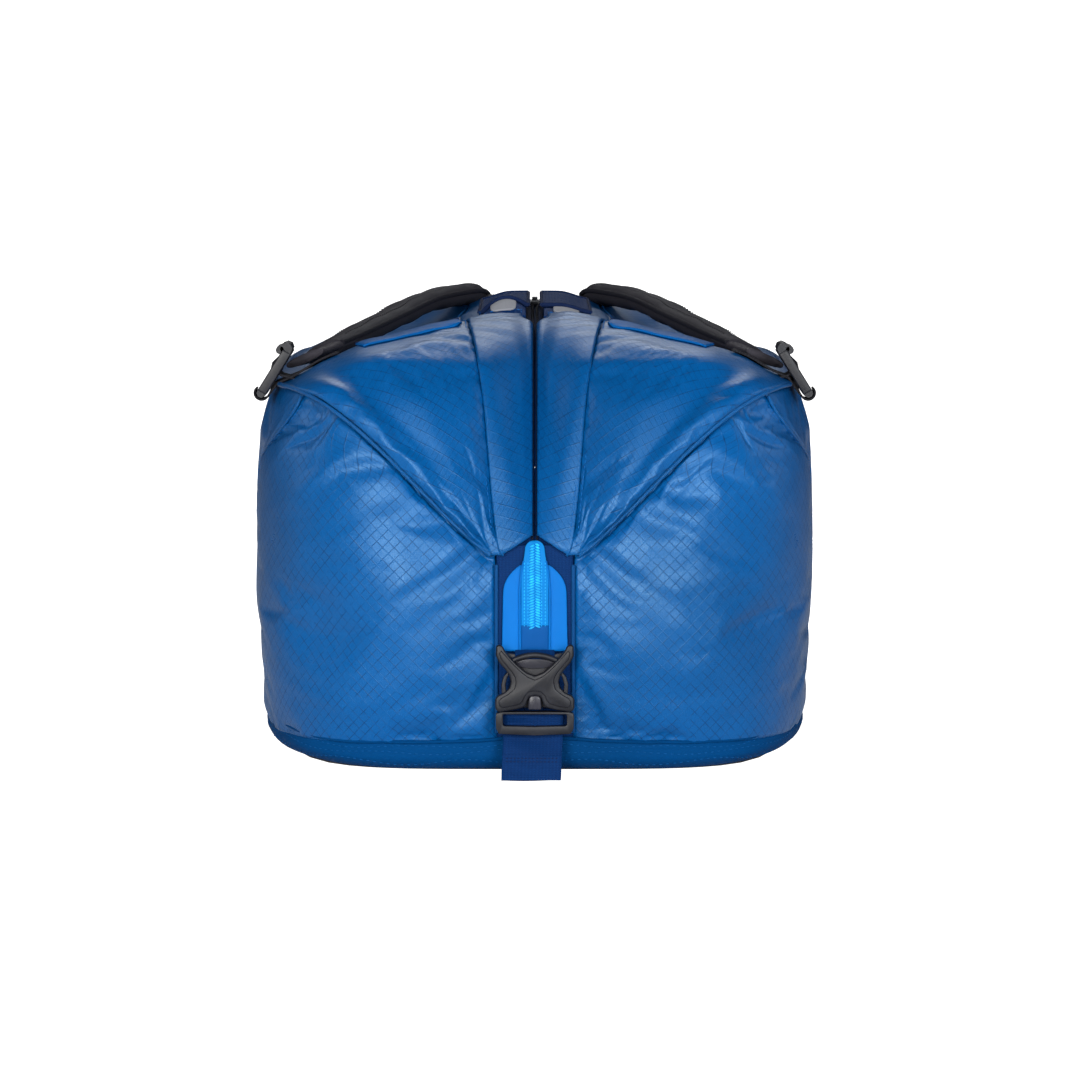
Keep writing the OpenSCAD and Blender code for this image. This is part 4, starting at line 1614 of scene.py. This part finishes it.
@dataclass
class Buckle(Dresser):
    """Side-release buckle of one end: crossed female arms, male frame with prongs, loop and tail."""

    end: End = End.FRONT

    @property
    def frame(self) -> Matrix:
        """Returns: plate frame with X across, Y up and Z out of the bag."""
        face = Matrix(((1, 0, 0, 0), (0, 0, -1, 0), (0, 1, 0, 0), (0, 0, 0, 1)))
        face = face @ Matrix.Translation((0, 0, -0.6))
        return face if self.end is End.FRONT else Matrix.Rotation(math.pi, 4, "Z") @ face

    @staticmethod
    def both(half: Sequence[tuple[float, float]]) -> list[tuple[float, float]]:
        """An outline from its right half, top to bottom."""
        return list(half) + [(-x, y) for x, y in reversed(half) if abs(x) > 1e-6]

    def female(self) -> None:
        """Crossed arms with the slot of the loop."""
        word, body = self.end.word, f"{self.end.word}_buckle"
        arms = self.both([(0, 67.7), (5.5, 70.0), (10.4, 74.2), (15.5, 79.2), (18.8, 83.6), (20.4, 86.8),
                          (22.6, 87.8), (24.5, 86.4), (24.6, 80.5), (22.4, 76.0), (18.6, 71.6), (16.2, 68.0),
                          (15.2, 64.2), (16.0, 60.2),
                          (19.0, 57.2), (23.4, 55.2), (25.0, 53.2), (25.0, 48.0), (24.3, 45.4),
                          (21.6, 44.8), (14.0, 46.0),
                          (8.0, 47.4), (5.8, 48.8), (4.7, 52.0), (3.6, 54.6), (0, 55.2)])
        face = self.loom.plate(f"{word}_female_face", arms, 304.6, 308.9, self.frame, "plastic", 1.5)
        self.wear(face, body, "buckle_plastic", f"{word}_female")
        ridge = self.both([(0, 65.4), (4.8, 67.4), (9.6, 71.4), (14.6, 76.4), (18.8, 81.4), (21.0, 84.0),
                           (22.5, 82.2),
                           (21.4, 78.4), (17.4, 73.6), (14.2, 69.8), (12.4, 66.6), (12.0, 63.6),
                           (12.9, 59.6), (16.6, 56.4),
                           (21.4, 53.6), (22.8, 51.8), (22.6, 49.0), (20.4, 47.4), (14.0, 48.6),
                           (9.2, 50.0), (7.6, 52.0), (6.2, 55.2), (3.8, 57.6), (0, 58.2)])
        self.wear(self.loom.plate(f"{word}_female_ridge", ridge, 308.4, 310.0, self.frame, "plastic", 0.7),
                  body,
                  "buckle_plastic")
        back = self.both([(0, 78.5), (20, 82), (23.2, 79), (20, 73), (16.2, 68.5), (14.6, 63.2), (16.2, 58),
                          (22, 53), (23.4, 46.6), (0, 46.6)])
        self.wear(self.loom.plate(f"{word}_female_back", back, 299.2, 301.2, self.frame, "plastic", 0.6),
                  body,
                  "buckle_plastic")
        bar = [self.turned(Vector((x, -304.6, 80.6 - 4.4 * (x / 15.5) ** 2)), Side.RIGHT, self.end)
               for x in range(-15, 16, 2)]
        self.wear(self.loom.cord(f"{word}_female_bar", bar, 1.9, "plastic", 1.5), body, "buckle_plastic")
        # Lens-shaped plate of lighter plastic in the crescent between the horns: a painted highlight.
        lens = [(13 * math.cos(t), 75.4 + (2.6 if math.sin(t) > 0 else 3.6) * math.sin(t))
                for t in [2 * math.pi * k / 28 for k in range(28)]]
        self.wear(self.loom.plate(f"{word}_female_lens", lens, 301.0, 303.6, self.frame, "plastic_painted_highlight",
                                  0.8), body,
                  "buckle_plastic")

    def male(self) -> None:
        """Frame with a window for the webbing, a guide tongue and two sprung prongs."""
        word = self.end.word
        rect = self.both([(0, 44.6), (20.8, 44.6), (24.4, 43.6), (24.8, 41.4), (24.5, 34.0), (22.6, 30.6),
                          (0, 29.6)])
        hole = self.both([(0, 43.0), (19.6, 43.0), (20.2, 42.4), (20.2, 36.4), (19.4, 35.6), (0, 35.2)])
        frame = self.loom.plate(f"{word}_male_frame", rect, 299.6, 306.4, self.frame, "plastic", 1.2, [hole])
        self.wear(frame, "tub", "buckle_plastic", f"{word}_male")
        # The guide tongue takes the lighter plastic: a painted highlight on a real part.
        tongue = self.both([(0, 55.2), (2.6, 55.0), (3.9, 53.2), (4.2, 46.0), (0, 46.0)])
        self.wear(self.loom.plate(f"{word}_male_tongue", tongue, 302.0, 306.2, self.frame, "plastic_painted_highlight",
                                  0.9), "tub",
                  "buckle_plastic")
        for side in Side:
            g = side.value if self.end is End.FRONT else -side.value
            shape = [(12.6, 47.6), (16.8, 47.2), (19.6, 52.2), (21.0, 57.0), (21.2, 62.2), (19.8, 67.0),
                     (17.2, 70.0),
                     (15.4, 69.6), (17.2, 66.4), (18.4, 62.0), (18.0, 57.6), (16.2, 53.6)]
            prong = self.loom.plate(f"{word}_prong_{side.word}_arm", [(g * x, y) for x, y in shape], 301.6,
                                    306.6, self.frame, "plastic", 0.7)
            self.wear(prong, f"{word}_{side.word}_prong", "buckle_plastic", f"{word}_prong_{side.word}")

    def webbing(self) -> None:
        """Loop behind the tab and tail through the frame."""
        word = self.end.word

        def loop(u: float, v: float) -> Vector:
            """Point of the loop's webbing."""
            z = mix(72.6, 83.6, v)
            return self.turned(Vector((mix(-12.4, 12.4, u), -301.4 - 1.2 * bump(z, 78, 4), z)), Side.RIGHT,
                               self.end)

        web = self.loom.patch(f"{word}_loop_web", (12, 20), loop, lambda u, v: (u * 25, v * 34), 1.3, "navy")
        self.wear(web, f"{word}_buckle", "navy_webbing", f"{word}_loop")

        def tail(u: float, v: float) -> Vector:
            """Point of the free tail."""
            z = mix(44.0, 1.4, v)
            y = -298.6 + 1.8 * ease((42 - z) / 6) - 7.6 * ease((30 - z) / 16) - 2.6 * ease((9 - z) / 8)
            x = mix(mix(-19.4, -21.2, v), mix(18.4, 16.4, v), u)
            return self.turned(Vector((x, y + 0.7 * math.sin(z * 0.3 + x * 0.12), z)), Side.RIGHT, self.end)

        strap = self.loom.patch(f"{word}_tail_web", (20, 64), tail, lambda u, v: (u * 38, v * 46), 1.5,
                                "navy")
        self.wear(strap, "tub", "navy_webbing", f"{word}_tail")

        def hem(u: float, v: float) -> Vector:
            """Point of the tail's folded end."""
            return tail(u, 0.63 + 0.37 * v) + Vector((0, 1.7 * self.end.value, 0))

        fold = self.loom.patch(f"{word}_tail_hem", (20, 24), hem, lambda u, v: (u * 38, v * 17), 1.6, "navy")
        self.wear(fold, "tub", "navy_webbing")
        rows = [[hem(u / 20, v) + Vector((0, 0.3 * self.end.value, 0)) for u in range(1, 20)]
                for v in (0.12, 0.26)]
        self.wear(self.loom.stitches(f"{word}_tail_stitches", rows, "binding", 1.6, 0.8, 0.3), "tub",
                  "navy_webbing")
        back = self.loom.plate(f"{word}_tail_root", [(-19, 30), (19, 30), (19, 44), (-19, 44)], 294.0,
                               295.6, self.frame, "navy", 0.3)
        self.wear(back, "tub", "navy_webbing")

    def build(self) -> None:
        """Dresses the buckle."""
        self.female()
        self.male()
        self.webbing()


@dataclass
class HaulHandle(Dresser):
    """Webbing haul handle of one lid: two sewn legs, an arched grip and a light sewn patch.

    rises holds the arch's height at the front for the left and the right lid. The droops are the shares
    of it that the grip's edges lose, and clear is the least rise that any point of the grip keeps.
    """

    side: Side = Side.RIGHT
    rises: tuple[float, float] = (9.4, 4.0)
    middle: float = 21.0
    half: float = 16.5
    droop_inner: float = 0.72
    droop_outer: float = 0.92
    clear: float = 4.2

    def at(self, x: float, y: float, o: float = 0.0) -> Vector:
        """Point of the handle's upper face, x across from its middle and y along the bag.

        Args:
            x: distance across from its middle, outwards.
            y: place along the bag.
            o: height over the face.

        Returns:
            The point, in mm.
        """
        form = self.form
        far = abs(y)
        u = (self.middle + x - 8) / 174
        ground = form.lid(max(0.0, u), form.top_s(u, far)).z
        up = ease((134 - far) / 28)
        droop = self.droop_outer if x > 0 else self.droop_inner
        crown = 1 - (abs(x) / (self.half + 0.5)) ** 2.2 * mix(0.05, droop, up)
        rise = self.rises[self.side is Side.RIGHT] * (1 - 0.6 * ease((y + 92) / 110))
        lift = 1.9 + max(rise * crown, self.clear) * up
        return Vector(((self.middle + x) * self.side.value, y, ground + lift + o))

    def strip(self, name: str, y0: float, y1: float, half: float, o: float, thick: float,
              finish: str) -> bpy.types.Object:
        """A length of the handle's webbing.

        Args:
            name: object name.
            y0: start along the bag.
            y1: end along the bag.
            half: half width.
            o: height over the handle's face.
            thick: thickness.
            finish: name of its finish.

        Returns:
            The webbing.
        """
        steps = max(10, round(abs(y1 - y0) / 2.4))
        return self.loom.patch(name, (22, steps), lambda u,
                               v: self.at(mix(-half, half, u), mix(y0, y1, v), o),
                               lambda u, v: (mix(-half, half, u), mix(y0, y1, v)), thick, finish,
                               Vector((0, 0, 60)))

    def bend(self, obj: bpy.types.Object, *nodes: str) -> None:
        """Applies a piece of the grip's modifiers and world place, and hides the CAD nodes that it stands in
        for.

        Args:
            obj: the piece.
            nodes: CAD nodes that it stands in for.
        """
        if nodes:
            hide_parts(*nodes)
        self.loom.bake(obj)
        outer, inner = ((self.middle + x) * self.side.value * MM for x in (self.half, 0.0))
        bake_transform(obj)

    def build(self) -> None:
        """Dresses the handle."""
        word, lid, grip = self.side.word, f"{self.side.word}_lid", f"{self.side.word}_haul_grip"
        for end, nodes in ((End.FRONT, (f"handle_legs_{word}",)), (End.BACK, ())):
            g = end.value
            leg = self.strip(f"handle_leg_{end.word}_{word}", g * 131, g * 90, self.half - 1.5, -2.0, 1.4,
                             "navy")
            if nodes:
                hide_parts(*nodes)
            x = self.middle * self.side.value * MM
            self.loom.bake(leg)
            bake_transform(leg)
            rows = [[self.at(a, g * y, -1.6) for y in range(119, 130)] for a in (-12, 12)]
            rows.append([self.at(a, g * 121, -1.6) for a in range(-12, 13, 2)])
            self.wear(self.loom.stitches(f"handle_stitches_{end.word}_{word}", rows, "thread_blue"), lid,
                      "navy_webbing")
        patch = self.loom.patch(f"handle_patch_{word}_cloth", (22, 16), lambda u, v: self.at(
            mix(-8.6, 8.6, u) * math.sqrt(1 - 0.7 * abs(2 * v - 1) ** 5), mix(-123, -103, v), -0.7),
            lambda u, v: (u * 17, v * 21), 1.0, "patch", Vector((0, 0, 60)))
        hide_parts(f"handle_patch_{word}")
        self.loom.bake(patch)
        x = self.middle * self.side.value * MM
        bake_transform(patch)
        wrap = self.strip(f"grip_{word}_wrap", -97, 97, self.half, 0.6, 2.2, "navy")
        self.bend(wrap, f"grip_{word}")
        for g in (-1, 1):
            rim = [self.at(a * self.half / 12, g * 97, 0.0) for a in range(-12, 13)]
            self.bend(self.loom.cord(f"grip_rim_{'fb'[g > 0]}_{word}", rim, 1.7, "binding", 1.5))
            edge = [self.at(g * self.half, y, 0.2) for y in range(-97, 98, 3)]
            self.bend(self.loom.cord(f"grip_edge_{'lr'[g > 0]}_{word}", edge, 1.2, "binding", 3.0))


@dataclass
class ShoulderStrap(Dresser):
    """Padded shoulder strap of one lid, its tongue, webbing and ladder lock."""

    side: Side = Side.RIGHT
    spine: tuple[tuple[float, float, float], ...] = (
        (40, 163, 286), (47, 142, 288.5), (57, 112, 289.5), (78, 50, 287), (103, -20, 277), (127, -98, 267),
        (143, -155, 262), (150, -184, 261))
    lock_p: tuple[float, float, float] = (177.42, -200.38, 239.0)

    def middle(self, t: float) -> Vector:
        """Centre line of the strap, t from the far end to the tongue's end."""
        pts = [Vector(p) for p in self.spine]
        f = min(0.99999, max(0.0, t)) * (len(pts) - 1)
        i = int(f)
        a, b = pts[max(0, i - 1)], pts[i]
        c, d = pts[i + 1], pts[min(len(pts) - 1, i + 2)]
        k = f - i
        return 0.5 * ((2 * b) + (c - a) * k + (2 * a - 5 * b + 4 * c - d) * k * k
                      + (3 * b - a - 3 * c + d) * k**3)

    def axes(self, t: float) -> tuple[Vector, Vector]:
        """Returns: across and up directions of the strap at t."""
        way = (self.middle(t + 0.01) - self.middle(t - 0.01)).normalized()
        lean = Vector((0.2 + 0.25 * ease((t - 0.3) / 0.5), 0, 1))
        across = way.cross(lean).normalized()
        return across, across.cross(way).normalized()

    def tube(self, name: str, span: tuple[float, float], size: tuple[int, int],
             wide: Callable[[float], float],
             tall: Callable[[float], float], finish: str) -> bpy.types.Object:
        """A closed stuffed length of the strap.

        Args:
            name: object name.
            span: start and end t.
            size: faces around and along.
            wide: width for t.
            tall: thickness for t.
            finish: name of its finish.

        Returns:
            The length of strap.
        """
        bm = bmesh.new()
        bmesh.ops.create_grid(bm, x_segments=size[0], y_segments=size[1], size=0.5)
        layer = bm.loops.layers.uv.new("UVMap")
        spots = {v.index: (v.co.x + 0.5, v.co.y + 0.5) for v in bm.verts}
        for face in bm.faces:
            for loop in face.loops:
                u, v = spots[loop.vert.index]
                loop[layer].uv = (u * 0.11, v * 0.3)
        for vert in bm.verts:
            u, v = spots[vert.index]
            t = mix(span[0], span[1], v)
            across, up = self.axes(t)
            c, s = math.cos(2 * math.pi * u), math.sin(2 * math.pi * u)
            x = math.copysign(abs(c) ** 0.75, c) * wide(t) / 2
            z = math.copysign(abs(s) ** 0.85, s) * tall(t) / 2
            p = self.middle(t) + across * x + up * z
            vert.co = Vector((p.x * self.side.value, p.y, p.z)) * MM
        bmesh.ops.remove_doubles(bm, verts=bm.verts[:], dist=1e-6)
        bmesh.ops.holes_fill(bm, edges=[e for e in bm.edges if e.is_boundary], sides=0)
        bmesh.ops.recalc_face_normals(bm, faces=bm.faces[:])
        return self.loom.keep(bm, name, finish)

    def pad_wide(self, t: float) -> float:
        """Width of the pad at t."""
        return mix(14, 25, ease(t / 0.2)) + 9 * ease((t - 0.45) / 0.15) - 6 * ease((t - 0.66) / 0.16)

    def pad_tall(self, t: float) -> float:
        """Thickness of the pad at t."""
        soft = 15.0 + 0.9 * math.sin(t * 41) + 0.7 * math.sin(t * 87 + 1)
        return mix(4.0, soft, ease(t / 0.12)) * mix(1.0, 0.7, ease((t - 0.70) / 0.14))

    def edge(self, t: float, sign: float, out: float = 0.0, up_by: float = 0.0) -> Vector:
        """Point on the edge of the pad."""
        across, up = self.axes(t)
        p = self.middle(t) + across * sign * (self.pad_wide(t) / 2 + out) + up * up_by
        return Vector((p.x * self.side.value, p.y, p.z))

    def strap(self) -> None:
        """Pad with its binding and stitches, and the tongue."""
        word, body = self.side.word, f"{self.side.word}_strap"
        pad = self.tube(f"pad_{word}_foam", (0.0, 0.82), (36, 96), self.pad_wide, self.pad_tall, "strap")
        self.wear(pad, body, "strap_cloth", f"pad_{word}")
        ts = [0.02 + 0.8 * i / 90 for i in range(91)]
        for sign in (-1, 1):
            line = [self.edge(t, sign, 0.4, 0.8) for t in ts]
            name = f"pad_{word}_binding_{'ab'[sign > 0]}"
            self.wear(self.loom.cord(name, line, 1.9, "binding_dark", 3.0), body, "strap_cloth")
        rows = [[self.edge(t, sign, -5.0, 0.47 * self.pad_tall(t) * 0.93) for t in ts[6:-6]]
                for sign in (-1, 1)]
        self.wear(self.loom.stitches(f"pad_{word}_stitches", rows, "thread_dark", 3.0, 1.2, 0.4), body,
                  "strap_cloth")
        tongue = self.tube(f"tongue_{word}_cloth", (0.74, 1.0), (28, 30),
                           lambda t: mix(31, 27, ease((t - 0.74) / 0.2)),
                           lambda t: mix(9.0, 6.0, ease((t - 0.74) / 0.2)), "tongue")
        self.wear(tongue, body, "strap_cloth", f"tongue_{word}")

    def lock(self) -> None:
        """Ladder lock on its webbing tab at the corner."""
        word, body = self.side.word, f"{self.side.word}_ladder_lock"
        g = self.side.value
        frame = Matrix.Translation(Vector(self.lock_p)) @ Matrix.Rotation(math.radians(-122), 4, "Y")
        if g < 0:
            frame = Matrix.Diagonal((-1, 1, 1, 1)) @ frame
        rim = [(0.6, -15), (2.4, -17), (32.5, -17), (35, -15), (35, 15), (32.5, 17), (2.4, 17), (0.6, 15)]
        holes = [[(3.5, -13.5), (12, -13.5), (12, 13.5), (3.5, 13.5)],
                 [(15, -13.5), (20.5, -13.5), (20.5, 13.5), (15, 13.5)],
                 [(25, -13.5), (30.5, -13.5), (30.5, 13.5), (25, 13.5)]]
        plate = self.loom.plate(f"lock_{word}_plate", rim, -3.1, 3.1, frame, "plastic", 1.2, holes)
        self.wear(plate, body, "buckle_plastic", f"lock_{word}")
        for name, x, z, r in (("rod", 1.4, 0.0, 2.9), ("lip", 34.4, -1.4, 4.0), ("nose", 31.6, -4.4, 2.8)):
            line = [frame @ Vector((x, y, z)) for y in (-16.5, -8, 0, 8, 16.5)]
            self.wear(self.loom.cord(f"lock_{word}_{name}", line, r, "plastic", 4.0), body, "buckle_plastic")

        def web(u: float, v: float) -> Vector:
            """Point of the lock's webbing."""
            pts = ((26.8, 1.6), (26.6, -3.4), (22.0, -4.6), (18.0, -3.2), (17.6, 2.0), (17.2, 5.0),
                   (19.6, 13.0), (22.0, 23.0))
            f = min(0.9999, v) * (len(pts) - 1)
            i = int(f)
            x, z = (mix(pts[i][k], pts[i + 1][k], f - i) for k in (0, 1))
            return frame @ Vector((x, mix(-12.3, 12.3, u), z))

        ribbon = self.loom.patch(f"lock_{word}_web", (10, 56), web, lambda u, v: (u * 25, v * 42), 1.4,
                                 "black")
        self.wear(ribbon, body, "black_webbing", f"lock_web_{word}")

        def hook(u: float, v: float) -> Vector:
            """Point of the lock's tab, over the lid and round the rod."""
            y = self.lock_p[1] + mix(-11.8, 11.8, u)
            if v < 0.5:
                a = mix(0.78, 1.0, v / 0.5)
                s = self.form.top_s(a, -y)
                over = 2.4 + Lid(self.form, self.loom, self.side).crease(a, s)
                p = self.form.lid(a, s) + self.form.lid_up(a, s) * over
            else:
                w = (v - 0.5) / 0.5
                turn = math.radians(mix(195, 395, ease(w)))
                round_rod = Vector((self.lock_p[0] - 0.8 + 3.9 * math.cos(turn), y,
                                    self.lock_p[2] + 1.2 + 3.9 * math.sin(turn)))
                brow = self.form.lid(1.0, self.form.top_s(1.0, -y)) + Vector((1.6, 0, 1.0))
                p = mix(brow, round_rod, ease(w / 0.25))
            return Vector((p.x * g, p.y, p.z))

        anchor = self.loom.patch(f"lock_anchor_{word}_web", (10, 40), hook, lambda u, v: (u * 24, v * 50),
                                 1.3, "black")
        self.wear(anchor, f"{word}_lid", "black_webbing", f"lock_anchor_{word}")

    def build(self) -> None:
        """Dresses strap and lock."""
        self.strap()
        self.lock()
        form, word = self.form, self.side.word

        def foot(u: float, v: float) -> Vector:
            """Point of the anchor patch."""
            a, s = mix(0.13, 0.3, u), mix(2.9, 3.17, v)
            lift = 2.6 - 1.2 * (abs(2 * u - 1) ** 6 + abs(2 * v - 1) ** 6)
            lift += Lid(form, self.loom, self.side).crease(a, s)
            p = form.lid(a, s) + form.lid_up(a, s) * lift
            return self.turned(p, self.side)

        patch = self.loom.patch(f"anchor_{word}_cloth", (20, 20), foot, lambda u, v: (u * 30, v * 34), 1.6,
                                "strap", Vector((0, 0, 60)))
        self.wear(patch, f"{word}_lid", "strap_cloth", f"anchor_{word}")
        rows = [[foot(u, 0.06 + 0.88 * k / 20) + Vector((0, 0, 0.3)) for k in range(21)] for u in (0.1, 0.9)]
        rows += [[foot(0.1 + 0.8 * k / 20, v) + Vector((0, 0, 0.3)) for k in range(21)]
                 for v in (0.08, 0.92)]
        self.wear(self.loom.stitches(f"anchor_{word}_stitches", rows, "thread_dark"), f"{word}_lid",
                  "strap_cloth")


@dataclass
class Finishes:
    """All finishes of the bag."""

    made: dict[str, bpy.types.Material] = field(default_factory=dict)

    def build(self) -> dict[str, bpy.types.Material]:
        """Returns: the materials by name."""
        blue = (0.0002, 0.074, 0.255)
        self.made = {
            "body": Ripstop(blue, (0.0, 0.018, 0.085)).make("body_cloth"),
            "base": Ripstop((0.0003, 0.042, 0.15), (0.0002, 0.028, 0.105), rough=0.66, grid=0.5,
                            gloss=0.06).make("base_cloth"),
            "navy": Webbing((0.0004, 0.014, 0.072), (0.002, 0.036, 0.15)).make("navy_webbing"),
            "black": Webbing((0.006, 0.006, 0.008), (0.03, 0.03, 0.036)).make("black_webbing"),
            "piping": PlainCloth((0.004, 0.06, 0.20)).make("piping"),
            "azure": PlainCloth((0.0008, 0.135, 0.48), rough=0.5).make("tab_cloth"),
            "zip": PlainCloth((0.001, 0.18, 0.52), rough=0.55).make("zip_bright"),
            "stop": PlainCloth((0.001, 0.07, 0.27)).make("stop_cloth"),
            "band": PlainCloth((0.0008, 0.088, 0.31), rough=0.45, sheen=0.0).make("band_cloth"),
            "patch": PlainCloth((0.24, 0.25, 0.28), yarn=0.0009).make("patch_grey"),
            "strap": PlainCloth((0.028, 0.027, 0.034), yarn=0.0009, depth=0.0003).make("strap_cloth"),
            "plastic": Moulded((0.005, 0.0055, 0.009)).make("buckle_plastic"),
            # Lighter copy of the buckle plastic: a painted highlight in its colour, with real gloss in its
            # lower roughness.
            "plastic_painted_highlight": Moulded((0.02, 0.02, 0.028), rough=0.25).make("buckle_gloss"),
            "zip_teeth": Moulded((0.01, 0.36, 0.74), rough=0.4).make("zip_teeth"),
            "binding": PlainCloth((0.006, 0.016, 0.06)).make("binding_navy"),
            "binding_dark": PlainCloth((0.014, 0.014, 0.02), yarn=0.0008).make("binding_dark"),
            "tongue": PlainCloth((0.045, 0.042, 0.052), yarn=0.0006, rough=0.5).make("tongue_cloth"),
            "zip_dark": Moulded((0.002, 0.004, 0.014), rough=0.6).make("zip_dark"),
            "metal": Moulded((0.30, 0.31, 0.33), rough=0.3, metal=1.0).make("slider_metal"),
            "board": PlainCloth((0.05, 0.05, 0.055), yarn=0.002).make("board"),
            "thread_blue": PlainCloth((0.008, 0.11, 0.36)).make("thread_blue"),
            "thread_base": PlainCloth((0.002, 0.07, 0.235)).make("thread_base"),
            "thread_dark": PlainCloth((0.02, 0.02, 0.025)).make("thread_dark"),
        }
        return self.made


def main() -> None:
    """Dresses the bag and lights it."""
    logging.basicConfig(level=logging.INFO)
    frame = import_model()
    form = BagForm()
    loom = Loom(Finishes().build())
    Tub(form, loom).build()
    for side in Side:
        Lid(form, loom, side).build()
        HaulHandle(form, loom, side).build()
        ShoulderStrap(form, loom, side).build()
    for end in End:
        ZipEnd(form, loom, end).build()
        Buckle(form, loom, end).build()
    for node, finish in (("base_board", "board"), ("slider", "metal"), ("pull", "metal")):
        mesh = frame["nodes"][node].data
        for i in range(len(mesh.materials)):
            mesh.materials[i] = loom.finishes[finish]
    Studio().build()
    for obj in bpy.data.objects:
        if obj.type == "MESH":
            LOG.info("piece %s, %d faces", obj.name, len(obj.data.polygons))


if __name__ == "__main__":
    main()
